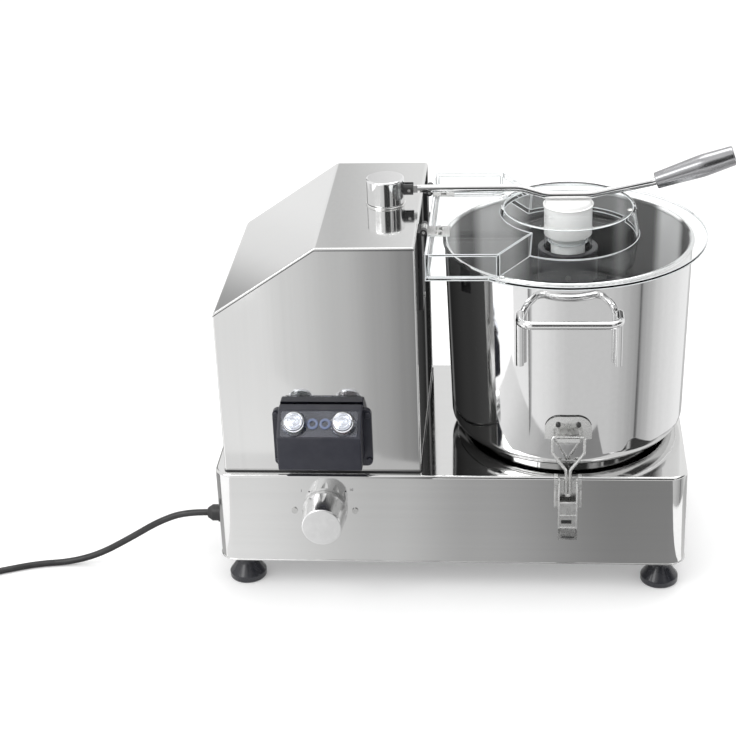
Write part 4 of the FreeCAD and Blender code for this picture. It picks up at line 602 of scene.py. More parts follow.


# Glowing cards that only shiny surfaces see: painted reflections of light and shade round the machine.
CARDS = (
    Card("near_card", ((-0.33, -0.365, 0.0236), (-0.33, -0.135, 0.001), (0.27, -0.135, 0.001),
                       (0.27, -0.365, 0.0236)),
         ((0.0, 1.0), (0.097, 0.97), (0.39, 0.66), (0.55, 0.48), (0.817, 0.28), (1.0, 0.3)),
         ((0.0, 0.9), (1.0, 1.0))),
    Card("louver_card", ((-0.3, -0.66, -0.124), (-0.3, -0.66, 0.2), (-0.045, -0.25, 0.37),
                         (-0.045, -0.25, 0.0745)),
         ((0.0, 0.95), (0.235, 0.8), (0.55, 0.62), (0.76, 0.44), (0.88, 0.33), (1.0, 0.18))),
    # gap_card: painted shade of the gap between the housing's right wall and the bowl, seen in the bowl
    Card("gap_card", ((-0.0492, 0.118, 0.14), (-0.0492, 0.118, 0.38), (-0.0492, -0.1, 0.38),
                      (-0.0492, -0.1, 0.14)),
         ((0.0, 0.01), (0.3, 0.01), (0.42, 0.16), (0.5, 0.02), (0.8, 0.04), (1.0, 0.06))),
    Card("room_card", ((-1.5, -2.3, 0.02), (-1.5, -2.3, 2.3), (2.2, -2.3, 2.3), (2.2, -2.3, 0.02)),
         ((0.0, 1.0), (0.3, 0.9), (0.38, 0.06), (0.7, 0.06), (0.78, 0.6), (0.85, 0.7), (1.0, 0.15)),
         ((0.0, 1.0), (1.0, 1.0))),
    Card("side_card", ((2.4, -2.3, 0.5), (2.4, -2.3, 2.4), (2.4, 0.8, 2.4), (2.4, 0.8, 0.5)),
         ((0.0, 0.06), (0.3, 0.06), (0.36, 0.7), (0.42, 0.06), (0.75, 0.08), (1.0, 0.7))),
    Card("back_card", ((-1.3, 0.135, 0.002), (-1.3, 1.7, 0.002), (1.3, 1.7, 0.002), (1.3, 0.135, 0.002)),
         ((0.0, 0.9), (0.3, 0.85), (0.4, 0.62), (0.44, 0.42), (0.48, 0.34), (0.52, 0.46), (0.56, 0.66),
          (0.66, 0.6), (0.72, 0.85), (1.0, 0.95)), ((0.0, 0.8), (0.2, 1.0), (0.6, 0.86), (1.0, 1.0))),
    Card("left_card", ((-1.9, -0.12, 0.002), (-1.9, 0.12, 0.002), (-0.27, 0.12, 0.002),
                       (-0.27, -0.12, 0.002)),
         ((0.0, 0.9), (0.5, 0.7), (0.8, 0.45), (1.0, 0.6)), ((0.0, 0.9), (0.5, 0.75), (1.0, 1.0))),
    Card("right_card", ((0.23, -0.1, 0.002), (0.23, 0.13, 0.002), (1.6, 0.13, 0.002), (1.6, -0.1, 0.002)),
         ((0.0, 0.7), (0.3, 0.55), (0.7, 0.8), (1.0, 0.95)), ((0.0, 1.0), (0.5, 0.8), (1.0, 1.0))),
    Card("rear_card", ((-2.6, 2.0, 0.0), (-2.6, 2.0, 2.0), (1.8, 2.0, 2.0), (1.8, 2.0, 0.0)),
         ((0.0, 1.0), (0.25, 0.25), (0.3, 0.4), (0.34, 0.92), (0.37, 1.0), (0.46, 1.0), (0.505, 0.66),
          (0.55, 0.92), (0.6, 1.0), (1.0, 1.0))),
)
# Brightness along the fan card: painted reflection bands on the bowl's front.
FAN_CARD = ((0.02, 0.99), (0.108, 0.93), (0.146, 0.88), (0.182, 0.81), (0.219, 0.72), (0.255, 0.67),
            (0.44, 0.66), (0.479, 0.62), (0.519, 0.55), (0.56, 0.46), (0.585, 0.4), (0.597, 0.1),
            (0.61, 0.42), (0.648, 0.52), (0.697, 0.7), (0.749, 0.81), (0.808, 0.88), (0.919, 0.97))


LAMPS = (("soft_key", (-1.4, -1.3, 1.9), (1.4, 1.4), 22.0), ("soft_top", (0.3, 0.6, 2.2), (1.6, 1.2), 17.0))


@dataclass
class Studio:
    """Camera, floor, world, lamps and glowing cards that paint reflections."""

    camera_at: Point = (0.0635, -1.7156, 1.0446)
    yaw: float = -0.102
    pitch: float = 0.457
    roll: float = -0.043
    lens: float = 87.98
    floor_half: float = 12.0
    fill: float = 0.98
    fan_heights: Pair = (0.13, 0.37)
    fan_level: float = 0.004
    fan_centre: Pair = (0.0987, 0.0)
    fan_radius: float = 0.1245
    fan_reach: Pair = (-26.0, 74.0)
    fan_steps: int = 50

    def set_camera(self) -> None:
        """Makes the camera at the photograph's place and angle."""
        data = bpy.data.cameras.new("view")
        data.lens = self.lens
        data.sensor_width = 36.0
        ahead = Vector((math.sin(self.yaw) * math.cos(self.pitch), math.cos(self.yaw) * math.cos(self.pitch),
                        -math.sin(self.pitch)))
        side = Vector((math.cos(self.yaw), -math.sin(self.yaw), 0.0))
        rise = side.cross(ahead)
        right = math.cos(self.roll) * side + math.sin(self.roll) * rise
        up = math.cos(self.roll) * rise - math.sin(self.roll) * side
        turn = Matrix((right, up, -ahead)).transposed()
        camera = bpy.data.objects.new("view", data)
        camera.matrix_world = Matrix.Translation(self.camera_at) @ turn.to_4x4()
        bpy.context.scene.collection.objects.link(camera)
        bpy.context.scene.camera = camera

    def seen(self, sheet: NodeSheet) -> bpy.types.NodeSocket:
        """Adds the test for rays that look at the background.

        Args:
            sheet: The stage material's or world's node sheet.

        Returns:
            1 for camera, glossy and transmission rays.
        """
        path = sheet.add("ShaderNodeLightPath")
        either = sheet.sum(path.outputs["Is Camera Ray"], path.outputs["Is Glossy Ray"], "MAXIMUM")
        return sheet.sum(either, path.outputs["Is Transmission Ray"], "MAXIMUM")

    def set_world(self) -> None:
        """Lights the scene evenly and shows a white background."""
        world = bpy.data.worlds.new("studio")
        world.use_nodes = True
        sheet = NodeSheet(world.node_tree)
        shader = world.node_tree.nodes["Background"]
        sheet.feed(shader, "Color", (1.0, 1.0, 1.0, 1.0))
        sheet.feed(shader, "Strength", sheet.spread(self.seen(sheet), self.fill, 1.0))
        bpy.context.scene.world = world

    def set_floor(self) -> None:
        """Makes the pale floor, which keeps a faint shadow."""
        bm = bmesh.new()
        bmesh.ops.create_grid(bm, x_segments=2, y_segments=2, size=self.floor_half)
        floor = Shape(bm).object("floor")
        material, sheet = new_material("Pale floor")
        shader = material.node_tree.nodes["Principled BSDF"]
        shader.inputs["Roughness"].default_value = 0.9
        shader.inputs["Specular IOR Level"].default_value = 0.0
        shader.inputs["Base Color"].default_value = (0.8, 0.8, 0.8, 1.0)
        shader.inputs["Emission Color"].default_value = (1.0, 1.0, 1.0, 1.0)
        sheet.feed(shader, "Emission Strength", sheet.spread(self.seen(sheet), 0.0, 0.2))
        floor.data.materials.append(material)

    def add_lamp(self, name: str, at: Point, size: Pair, power: float,
                 aim: Point = (0.0, 0.0, 0.2)) -> None:
        """Adds a soft rectangular lamp.

        Args:
            name: The lamp's name.
            at: Its place.
            size: Its width and height.
            power: Its power in watts.
            aim: The point that it faces.
        """
        data = bpy.data.lights.new(name, "AREA")
        data.shape = "RECTANGLE"
        data.size, data.size_y = size
        data.energy = power
        lamp = bpy.data.objects.new(name, data)
        lamp.location = at
        lamp.rotation_euler = (Vector(aim) - Vector(at)).to_track_quat("-Z", "Y").to_euler()
        bpy.context.scene.collection.objects.link(lamp)

    def add_card(self, card: Card) -> None:
        """Adds a glowing card that only shiny surfaces see, which paints light and shade into their
        reflections.

        Args:
            card: Its name, corners and brightness.
        """
        bm = bmesh.new()
        bm.faces.new([bm.verts.new(c) for c in card.corners])
        sheet, light = self.hang(card.name, bm)
        point = sheet.add("ShaderNodeTexCoord").outputs["Object"]
        level = (*card.corners[3][:2], card.corners[0][2])
        wide = sheet.ramp(self.share(sheet, point, card.corners[0], level), card.across, "EASE")
        high = sheet.ramp(self.share(sheet, point, card.corners[0], card.corners[1]), card.along, "EASE")
        sheet.feed(light, "Strength", sheet.sum(wide, high, "MULTIPLY"))

    def add_fan_card(self) -> None:
        """Adds a glowing card where the round bowl's front mirrors it, so that its painted reflection bands
        stand upright there.
        """
        bm = bmesh.new()
        shares = bm.loops.layers.uv.new("share")
        rows = []
        first, last = self.fan_reach
        for i in range(self.fan_steps + 1):
            angle = math.radians(first + (last - first) * i / self.fan_steps)
            normal = Vector((math.sin(angle), -math.cos(angle), 0.0))
            row = []
            for height in self.fan_heights:
                point = Vector((*self.fan_centre, height)) + normal * self.fan_radius
                ray = (point - Vector(self.camera_at)).normalized().reflect(normal)
                row.append(bm.verts.new(point + ray * ((self.fan_level - point.z) / ray.z)))
            rows.append(row)
        for i, (one, two) in enumerate(zip(rows, rows[1:])):
            face = bm.faces.new((one[0], one[1], two[1], two[0]))
            for loop, place in zip(face.loops, (i, i, i + 1, i + 1)):
                loop[shares].uv = (place / self.fan_steps, 0.0)
        sheet, light = self.hang("fan_card", bm)
        place = sheet.add("ShaderNodeSeparateXYZ")
        sheet.feed(place, 0, sheet.add("ShaderNodeUVMap", uv_map="share").outputs[0])
        sheet.feed(light, "Strength", sheet.ramp(place.outputs[0], FAN_CARD, "EASE"))

    def hang(self, name: str, bm: bmesh.types.BMesh) -> tuple[NodeSheet, bpy.types.Node]:
        """Makes a card from its mesh and starts its material.

        Args:
            name: The card's name.
            bm: Its mesh.

        Returns:
            The material's node sheet and its emission node.
        """
        card = Shape(bm).object(name)
        material, sheet = new_material(name)
        light = sheet.add("ShaderNodeEmission")
        sheet.feed(material.node_tree.nodes["Material Output"], "Surface", light.outputs[0])
        card.data.materials.append(material)
        card.visible_camera = False
        card.visible_diffuse = False
        card.visible_shadow = False
        card.visible_transmission = False
        return sheet, light

    def share(self, sheet: NodeSheet, point: bpy.types.NodeSocket, start: Sequence[float],
              end: Sequence[float]) -> bpy.types.NodeSocket:
        """Adds how far a point lies from start to end.

        Args:
            sheet: The card's node sheet.
            point: Socket with the point.
            start: Where the share is 0.
            end: Where the share is 1.

        Returns:
            The share.
        """
        span = Vector(end) - Vector(start)
        shifted = sheet.vector("SUBTRACT", point, tuple(start)).outputs[0]
        return sheet.vector("DOT_PRODUCT", shifted, tuple(span / span.length_squared)).outputs["Value"]

    def build(self) -> None:
        """Sets the whole studio."""
        self.set_camera()
        self.set_world()
        self.set_floor()
        for lamp in LAMPS:
            self.add_lamp(*lamp)
        for card in CARDS:
            self.add_card(card)
        self.add_fan_card()
        bpy.context.scene.view_settings.view_transform = "Standard"
        LOG.info("studio: camera, floor, world, lamps and cards")


# Shapes


def round_curve(name: str, points: Sequence[Vector], radius: float, sides: int, steps: int,
                smooth: bool = True, closed: bool = False) -> bpy.types.Curve:
    """Makes a round bar's curve.

    Args:
        name: The curve's name.
        points: The control points of its middle line.
        radius: The bar's radius.
        sides: Resolution round the bar.
        steps: Resolution along it.
        smooth: True for one smooth spline, False for straight runs.
        closed: True if it ends where it starts.

    Returns:
        The curve.
    """
    curve = bpy.data.curves.new(name, "CURVE")
    curve.dimensions = "3D"
    curve.bevel_depth = radius
    curve.bevel_resolution = sides
    curve.resolution_u = steps
    curve.use_fill_caps = True
    spline = curve.splines.new("NURBS" if smooth else "POLY")
    spline.points.add(len(points) - 1)
    for item, point in zip(spline.points, points):
        item.co = (*point, 1.0)
    spline.use_cyclic_u = closed
    if smooth:
        spline.order_u = 3
        spline.use_endpoint_u = not closed
    return curve


def mesh_of(curve: bpy.types.Curve) -> bmesh.types.BMesh:
    """Gives the mesh of a curve or text, which is removed."""
    holder = bpy.data.objects.new("holder", curve)
    mesh = bpy.data.meshes.new_from_object(holder)
    bpy.data.objects.remove(holder)
    bpy.data.curves.remove(curve)
    bm = bmesh.new()
    bm.from_mesh(mesh)
    bpy.data.meshes.remove(mesh)
    return bm


class Shape:
    """A mesh in the making, shaped by bmesh operators."""

    def __init__(self, bm: bmesh.types.BMesh | None = None) -> None:
        """Starts from a bmesh, or an empty one.

        Args:
            bm: A bmesh to go on with.
        """
        self.bm = bm or bmesh.new()

    def turned(self, profile: Profile, steps: int = 96, closed: bool = False) -> "Shape":
        """Spins a profile round the upright axis.

        Args:
            profile: Radius and height of each point.
            steps: Steps in the full turn.
            closed: True if the profile's last point joins its first.

        Returns:
            This shape.
        """
        bm = bmesh.new()
        verts = [bm.verts.new((r, 0.0, z)) for r, z in profile]
        pairs = list(zip(verts, verts[1:])) + ([(verts[-1], verts[0])] if closed else [])
        edges = [bm.edges.new(pair) for pair in pairs]
        bmesh.ops.spin(bm, geom=verts + edges, cent=(0, 0, 0), axis=(0, 0, 1), angle=TURN, steps=steps,
                       use_merge=True)
        bmesh.ops.remove_doubles(bm, verts=bm.verts, dist=1e-6)
        bmesh.ops.recalc_face_normals(bm, faces=bm.faces)
        return self.join(bm)

    def join(self, bm: bmesh.types.BMesh) -> "Shape":
        """Adds another bmesh's faces to this shape and frees it.

        Args:
            bm: The bmesh to add.

        Returns:
            This shape.
        """
        data = bpy.data.meshes.new("part")
        bm.to_mesh(data)
        bm.free()
        self.bm.from_mesh(data)
        bpy.data.meshes.remove(data)
        return self

    def block(self, size: Sequence[float], corner: float = 0.0, edge: float = 0.0) -> "Shape":
        """Adds a block round the origin, with its upright edges rounded and its others eased.

        Args:
            size: Its width, depth and height.
            corner: Radius of its upright edges.
            edge: Radius of its level edges.

        Returns:
            This shape.
        """
        bm = bmesh.new()
        bmesh.ops.create_cube(bm, size=1.0)
        bmesh.ops.scale(bm, vec=size, verts=bm.verts)
        for radius, upright, steps in ((corner, True, 6), (edge, False, 3)):
            if radius:
                edges = [e for e in bm.edges if self.is_upright(e) == upright and e.calc_face_angle(0.0) > 0.5]
                bmesh.ops.bevel(bm, geom=edges, offset=radius, segments=steps, profile=0.5, affect="EDGES",
                                material=-1)
        return self.join(bm)

    def is_upright(self, edge: bmesh.types.BMEdge) -> bool:
        """Tells if an edge runs along Z."""
        run = edge.verts[1].co - edge.verts[0].co
        return abs(run.z) > 0.9 * run.length

    def wire(self, points: Sequence[Sequence[float]], radius: float, closed: bool = False,
             bend: float = 0.0) -> "Shape":
        """Adds a round wire through points.

        Args:
            points: Its middle line.
            radius: Its radius.
            closed: True if it ends where it starts.
            bend: How far before and after a corner its bend starts, or 0 for sharp runs.

        Returns:
            This shape.
        """
        line = [Vector(p) for p in points]
        if bend:
            line = self.eased(line, bend, closed)
        return self.join(mesh_of(round_curve("wire", line, radius, 3, 4, bool(bend), closed)))

    def eased(self, line: Sequence[Vector], bend: float, closed: bool) -> list[Vector]:
        """Puts a point before and after each corner of a wire, so that its runs stay straight.

        Args:
            line: The wire's corners and ends.
            bend: How far from the corner the points lie.
            closed: True if the wire is a loop.

        Returns:
            The points of the wire's spline.
        """
        made = []
        count = len(line)
        for i, point in enumerate(line):
            if not closed and i in (0, count - 1):
                made.append(point)
                continue
            back, ahead = line[i - 1] - point, line[(i + 1) % count] - point
            made += [point + back.normalized() * min(bend, back.length * 0.45), point,
                     point + ahead.normalized() * min(bend, ahead.length * 0.45)]
        return made

    def moved(self, at: Sequence[float] = (0, 0, 0), turn: Matrix = Matrix.Identity(4)) -> "Shape":
        """Turns the shape about the origin, then moves it.

        Args:
            at: Where its origin goes.
            turn: The turn.

        Returns:
            This shape.
        """
        bmesh.ops.transform(self.bm, matrix=Matrix.Translation(at) @ turn, verts=self.bm.verts)
        return self

    def in_metres(self) -> "Shape":
        """Scales the shape from millimetres to metres and returns it."""
        bmesh.ops.scale(self.bm, vec=(MM, MM, MM), verts=self.bm.verts)
        return self

    def object(self, name: str, smooth: float | None = None) -> bpy.types.Object:
        """Makes the object.

        Args:
            name: The piece's name.
            smooth: Largest angle in degrees that is shaded smooth, or nothing for flat faces.

        Returns:
            The object, linked to the scene.
        """
        data = bpy.data.meshes.new(name)
        self.bm.to_mesh(data)
        self.bm.free()
        if smooth is not None:
            data.shade_smooth()
            data.set_sharp_from_angle(angle=math.radians(smooth))
        made = bpy.data.objects.new(name, data)
        bpy.context.scene.collection.objects.link(made)
        return made


class Workshop:
    """Gives pieces their finish and body, and keeps the record's slots."""

    def __init__(self) -> None:
        """Builds the shared groups and every finish."""
        self.effects = Effects()
        self.materials = {slot: finish.build(self.effects) for slot, finish in FINISHES.items()}
        self.slots = {part["node"]: part["material_slot"] for part in frame["record"]["subparts"]}

    def dress(self, piece: bpy.types.Object, slot: str, body: str, replaces: Sequence[str] = (),
              finish: str = "") -> bpy.types.Object:
        """Gives a new piece its finish and body.

        Args:
            piece: The finished piece.
            slot: The record's material slot.
            body: The body that it rides on.
            replaces: CAD nodes that it stands for.
            finish: The finish where it isn't the slot's own.

        Returns:
            The piece.
        """
        if not piece.data.materials:
            piece.data.materials.append(self.materials[finish or slot])
        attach(piece, body)
        if replaces:
            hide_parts(*replaces)
        LOG.info("%s on %s", piece.name, body)
        return piece

    def paint(self, node: str, finish: str = "") -> None:
        """Gives a CAD node a finish.

        Args:
            node: The node's name.
            finish: The finish where it isn't its slot's own.
        """
        item = frame["nodes"][node]
        item.data.materials.clear()
        item.data.materials.append(self.materials[finish or self.slots[node]])
        LOG.info("%s keeps its solid", node)


# Cord


@dataclass
class MainsCord:
    """The cord from its gland over the table to its coil and plug."""

    diameter: float = 7 * MM
    length: float = 1.5
    coil_at: Pair = (-612 * MM, -85.5 * MM)
    steps: int = 16
    swell: float = 1.01
    lead: tuple[Point, ...] = (
        (-281.5, -84, 66), (-305.5, -84, 66), (-335, -84.6, 55), (-370, -85.5, 33), (-405, -86, 13),
        (-438, -87, 3.5), (-473, -92, 3.5), (-508, -106, 3.5), (-543, -121, 3.5), (-578, -128, 3.5))
    winding: tuple[Point, ...] = (
        (0.0, 43.5, 3.5), (0.6, 43.5, 3.5), (1.0, 36.5, 3.5), (1.3, 36.5, 3.5), (1.6, 36.5, 10.5),
        (2.0, 36.5, 10.5), (2.3, 43.5, 10.5), (2.75, 43.5, 10.5), (3.0, 43.5, 17.5), (3.3, 36.5, 17.5),
        (3.8, 36.5, 17.5), (3.95, 41.5, 24.0), (4.0, 42.5, 24.5))
    tail: tuple[Point, ...] = (
        (-626.0, -127.7, 24.5), (-638.0, -121.2, 24.5), (-645.4, -109.4, 24.5), (-646.7, -95.4, 24.5),
        (-640.4, -82.1, 24.5), (-628.2, -73.7, 24.5), (-613.5, -72.6, 24.5), (-600.6, -78.8, 24.5),
        (-586.6, -78.3, 24.5), (-574.6, -70.8, 22.5), (-567.8, -57.5, 18.8), (-567.5, -49.5, 18))
    tie: Profile = ((-55.0, 0.9), (-55.0, 22.6), (-36.6, 22.6), (-36.6, 0.9))
    tie_loops: Pair = (-612.9, -611.2)
    tie_end: tuple[Point, ...] = ((-612.9, -47.0, 22.6), (-611.8, -45.8, 25.5), (-610.6, -44.2, 28.0))
    tie_wire: float = 0.8
    tie_bend: float = 4.0

    def coil(self) -> list[Vector]:
        """Points of the coil's turns, with the clock, from its front.

        Returns:
            The points in metres.
        """
        points = []
        for i in range(round(self.winding[-1][0] * self.steps) + 1):
            t = i / self.steps
            before = max(k for k in self.winding if k[0] <= t + 1e-9)
            after = min((k for k in self.winding if k[0] > t + 1e-9), default=before)
            share = (t - before[0]) / (after[0] - before[0]) if after is not before else 0.0
            radius = (before[1] + (after[1] - before[1]) * share) * MM * self.swell
            angle = -TURN / 4 - TURN * t
            height = (before[2] + (after[2] - before[2]) * share) * MM
            points.append(Vector((self.coil_at[0] + radius * math.cos(angle),
                                  self.coil_at[1] + radius * math.sin(angle), height)))
        return points

    def build(self, shop: Workshop) -> None:
        points = [Vector(p) * MM for p in self.lead] + self.coil() + [Vector(p) * MM for p in self.tail]
        curve = round_curve("mains_cord", points, self.diameter / 2, 6, 12)
        cord = bpy.data.objects.new("mains_cord", curve)
        bpy.context.scene.collection.objects.link(cord)
        shop.dress(cord, "cord_black", "base", ["power_cord", "cord_coil"])
        wire, bend = self.tie_wire * MM, self.tie_bend * MM
        loops = Shape()
        for x in self.tie_loops:
            loops.wire([Vector((x, y, z)) * MM for y, z in self.tie], wire, closed=True, bend=bend)
        loops.wire([Vector(p) * MM for p in self.tie_end], wire)
        tie = shop.dress(loops.object("coil_tie", 60), "plug_black", "base")


# Sub-assemblies, in millimetres until their pieces are made


@dataclass
class HousingTrim:
    """Seams of the base box and the motor housing, and the marks beside the knob."""

    shop: Workshop
    housing: Point = (-252.1, -50.1, 121.0)
    base: Point = (-263.5, 219.5, 129.0)
    foot_at: float = 137.7
    base_low: float = 35.0
    fold: float = 3.0
    base_corner: float = 18.0
    seam: Profile = ((-251.6, 312.6), (-147.6, 382.2), (-50.6, 382.2))
    dots: Profile = ((-165.0, 118.6), (-127.4, 119.4))
    dot: Profile = ((0, 0), (0.9, 0), (0.75, 0.25), (0, 0.3))
    numbers: tuple[tuple[str, float, float], ...] = (("1", -173.0, 119.6), ("10", -121.5, 121.2))
    number_size: float = 4.2
    number_rise: float = 0.1
    seal_wire: float = 0.9
    seam_wire: float = 0.42
    corner_steps: int = 8

    def outline(self, box: Point, corner: float, level: float) -> list[Vector]:
        """Gives the points of a rounded rectangle.

        Args:
            box: Its left side, right side and half depth.
            corner: The radius of its corners.
            level: Its height.

        Returns:
            The points in metres.
        """
        left, right, half = box
        points = []
        for cx, cy, start in ((right - corner, half - corner, 0), (left + corner, half - corner, 1),
                              (left + corner, corner - half, 2), (right - corner, corner - half, 3)):
            for i in range(self.corner_steps + 1):
                angle = TURN / 4 * (start + i / self.corner_steps)
                x, y = cx + corner * math.cos(angle), cy + corner * math.sin(angle)
                points.append(Vector((x, y, level)) * MM)
        return points

    def build(self) -> None:
        """Makes the seal at the housing's foot, the front seam, the base's hem and the dial marks."""
        seal = self.outline(self.housing, self.fold, self.foot_at + 0.6)
        seam = [Vector((x, -self.housing[2] - 0.05, z)) * MM for x, z in self.seam]
        hem = self.outline(self.base, self.base_corner, self.base_low + 1.0)
        for name, line, wire, slot in (("housing_seal", seal, self.seal_wire, "black_plastic"),
                                       ("housing_seam", seam, self.seam_wire, "black_plastic"),
                                       ("base_hem", hem, self.seal_wire, "base_steel")):
            bar = Shape().wire(line, wire * MM, closed=line is not seam)
            self.shop.dress(bar.object(name, 40), slot, "base")
        marks = Shape()
        for x, z in self.dots:
            marks.join(Shape().turned(self.dot, 20).moved((x, -self.base[2], z), TO_FRONT).bm)
        for word, x, z in self.numbers:
            marks.join(self.number(word, x, z).bm)
        self.shop.dress(marks.in_metres().object("dial_marks", 30), "black_plastic", "base")

    def number(self, word: str, x: float, z: float) -> Shape:
        """Makes a number on the base's front.

        Args:
            word: The number.
            x: Its middle.
            z: Its middle height.

        Returns:
            Its mesh, in millimetres.
        """
        text = bpy.data.curves.new("number", "FONT")
        text.body = word
        text.size = self.number_size
        text.extrude = self.number_rise
        text.align_x, text.align_y = "CENTER", "CENTER"
        return Shape(mesh_of(text)).moved((x, -self.base[2], z), TO_FRONT)


@dataclass
class SwitchTrim:
    """Key crowns, clear membrane and link marks on the switch box's sloped panel, and its flange plugs."""

    shop: Workshop
    panel_at: Point = (-148.5, -147.0, 206.5)
    facing: Point = (0.0, -0.690476, 0.723356)
    keys: Pair = (-24.5, 24.5)
    crown: Profile = ((0, 9.6), (1.5, 9.4), (2.5, 8.6), (3.0, 7.4), (4.1, 7.3), (4.8, 8.6), (5.8, 9.1),
                      (6.9, 8.7), (7.5, 7.5), (8.3, 7.4), (8.9, 8.1), (9.8, 8.2), (10.5, 7.7), (10.8, 6.8),
                      (0, 6.8))
    dome: Profile = ((0, 11.6), (3.6, 11.4), (7.2, 10.4), (10.2, 8.4), (12.2, 5.4), (13.1, 1.2), (12.2, 1.2),
                     (11.3, 5.0), (9.5, 7.7), (6.8, 9.5), (3.4, 10.5), (0, 10.7))
    sheet: Point = (77.0, 27.0, 0.9)
    screws_x: Pair = (-194.9, -102.1)
    screws_z: Pair = (153.0, 205.0)
    flange_front: float = -124.0
    plug: Profile = ((0, -0.2), (3.4, -0.2), (3.4, 1.6), (2.8, 2.3), (0, 2.4))
    links: Pair = (-6.3, 6.3)
    link: Profile = ((3.0, 0.9), (3.0, 1.8), (3.5, 2.2), (5.2, 2.2), (5.7, 1.8), (5.7, 0.9))

    def placed(self, shape: Shape, across: float = 0.0) -> Shape:
        """Puts a shape on the panel.

        Args:
            shape: The shape in millimetres, with the panel's outward side up.
            across: How far along X it goes.

        Returns:
            The shape in metres.
        """
        turn = Vector(self.facing).to_track_quat("Z", "Y").to_matrix().to_4x4()
        return shape.moved(Vector(self.panel_at) + Vector((across, 0.0, 0.0)), turn).in_metres()

    def build(self) -> None:
        """Makes the crowns on both keys, the membrane over them, the plugs and the two link marks."""
        for across, key in zip(self.keys, ("start", "stop")):
            crown = self.placed(Shape().turned(self.crown, 48), across).object(f"{key}_crown", 40)
            self.shop.dress(crown, "knob_metal", f"{key}_key", finish="arm_chrome")
        cover = Shape().block(self.sheet, 2.0).moved((0, 0, self.sheet[2]))
        for across in self.keys:
            cover.join(Shape().turned(self.dome, 48).moved((across, 0, 0)).bm)
        membrane = self.placed(cover).object("switch_membrane", 40)
        self.shop.dress(membrane, "clear_boot", "base", ["switch_cover"])
        plugs = Shape()
        for x in self.screws_x:
            for z in self.screws_z:
                plugs.join(Shape().turned(self.plug, 24).moved((x, self.flange_front, z), TO_FRONT).bm)
        self.shop.dress(plugs.in_metres().object("flange_plugs", 35), "switch_black", "base")
        rings = Shape()
        for across in self.links:
            rings.join(Shape().turned(self.link, 40, closed=True).moved((across, 0.0, 0.0)).bm)
        marks = self.placed(rings).object("switch_links", 40)
        self.shop.dress(marks, "clear_boot", "base", finish="link_blue")


@dataclass
class BowlTrim:
    """Dark lines over the catches on the bowl: painted contact shadow along the catch plates' top edges."""

    shop: Workshop
    axis_at: float = 98.7
    bottom: float = 142.2
    low_radius: float = 121.0
    flare: float = 5 / 203.4
    arch_top: float = 204.2
    arch_radius: float = 15.0
    arch_half: float = 8.5
    arch_turn: float = 72.0
    steps: int = 12
    straight: int = 3
    proud: float = 1.2
    line_wire: float = 0.55

    def build(self) -> None:
        """Makes the dark line of painted contact shadow over both catch plates."""
        line = []
        for i in range(-self.steps, self.steps + 1):
            share = min(1.0, max(0.0, (abs(i) - self.straight) / (self.steps - self.straight)))
            bend = share * math.radians(self.arch_turn)
            out = min(abs(i) / self.straight, 1.0) * self.arch_half + self.arch_radius * math.sin(bend)
            x = math.copysign(out, i)
            z = self.arch_top - self.arch_radius * (1 - math.cos(bend))
            radius = self.low_radius + (z - self.bottom) * self.flare + self.proud
            line.append(Vector((x, -math.sqrt(radius ** 2 - x ** 2), z)))
        for side in Side:
            points = [(Vector((self.axis_at, 0, 0)) + side.value @ p) * MM for p in line]
            # black wire: painted contact shadow along the plate's top edge
            edge = Shape().wire(points, self.line_wire * MM).object(f"{side.name.lower()}_catch_edge", 40)
            self.shop.dress(edge, "hinge_black", "base")


@dataclass
class LatchTrim:
    """Bails of bent wire, with the rails, cheeks and slots of their levers: rails and cheeks of brighter
    steel, partly painted highlight, and slots that are dark blocks of painted shade.
    """

    shop: Workshop
    axis_at: float = 98.7
    plane: float = -134.6
    wire: float = 1.6
    side: Profile = ((2.0, 120.2), (2.0, 149.0), (16.0, 168.5), (16.0, 186.3))
    rails: tuple[tuple[float, ...], ...] = (
        (-8.9, -139.7, 111.0, 1.5, 1.4, 50.0), (8.9, -139.7, 111.0, 1.5, 1.4, 50.0),
        (0.0, -139.6, 114.2, 17.0, 1.0, 1.7), (0.0, -139.6, 99.5, 17.0, 0.6, 1.2))
    cheeks: tuple[tuple[float, ...], ...] = (
        (-12.8, -131.0, 121.0, 1.8, 2.0, 33.0), (12.8, -131.0, 121.0, 1.8, 2.0, 33.0))
    # dark blocks: painted shade of the slot and recess in each lever's web
    slots: tuple[tuple[float, ...], ...] = ((-1.4, -139.45, 92.0, 10.5, 0.5, 4.2),
                                            (0.0, -143.9, 76.6, 13.0, 0.8, 1.2))
    bend: float = 5.0

    def build(self) -> None:
        """Makes both bails, which replace the solids' plainer ones, and the trim of both levers: brighter
        rails and cheeks, partly painted highlight, and dark slot blocks of painted shade.
        """
        points = [(-x, z) for x, z in self.side] + [(x, z) for x, z in reversed(self.side)]
        axis = Vector((self.axis_at, 0, 0))
        for side in Side:
            name = side.name.lower()
            line = [(axis + side.value @ Vector((x, self.plane, z))) * MM for x, z in points]
            bail = Shape().wire(line, self.wire * MM, closed=True, bend=self.bend * MM)
            self.shop.dress(bail.object(f"{name}_bail_wire", 60), "latch_steel", f"{name}_bail",
                            [f"{name}_latch_bail"])
            for part, bars, body in (("lever_rails", self.rails, f"{name}_lever"),
                                     ("latch_cheeks", self.cheeks, "base"),
                                     ("lever_slot_shade", self.slots, f"{name}_lever")):
                made = Shape()
                for x, y, z, wide, deep, tall in bars:
                    made.join(Shape().block((wide, deep, tall), 0.2, 0.2).moved((x, y, z)).bm)
                piece = made.moved(axis, side.value).in_metres().object(f"{name}_{part}", 35)
                # slot blocks are black, painted shade; rails and cheeks take the brighter steel, partly
                # painted highlight
                dark = part == "lever_slot_shade"
                self.shop.dress(piece, "hinge_black" if dark else "latch_steel", body,
                                finish="" if dark else "rail_highlight_steel")


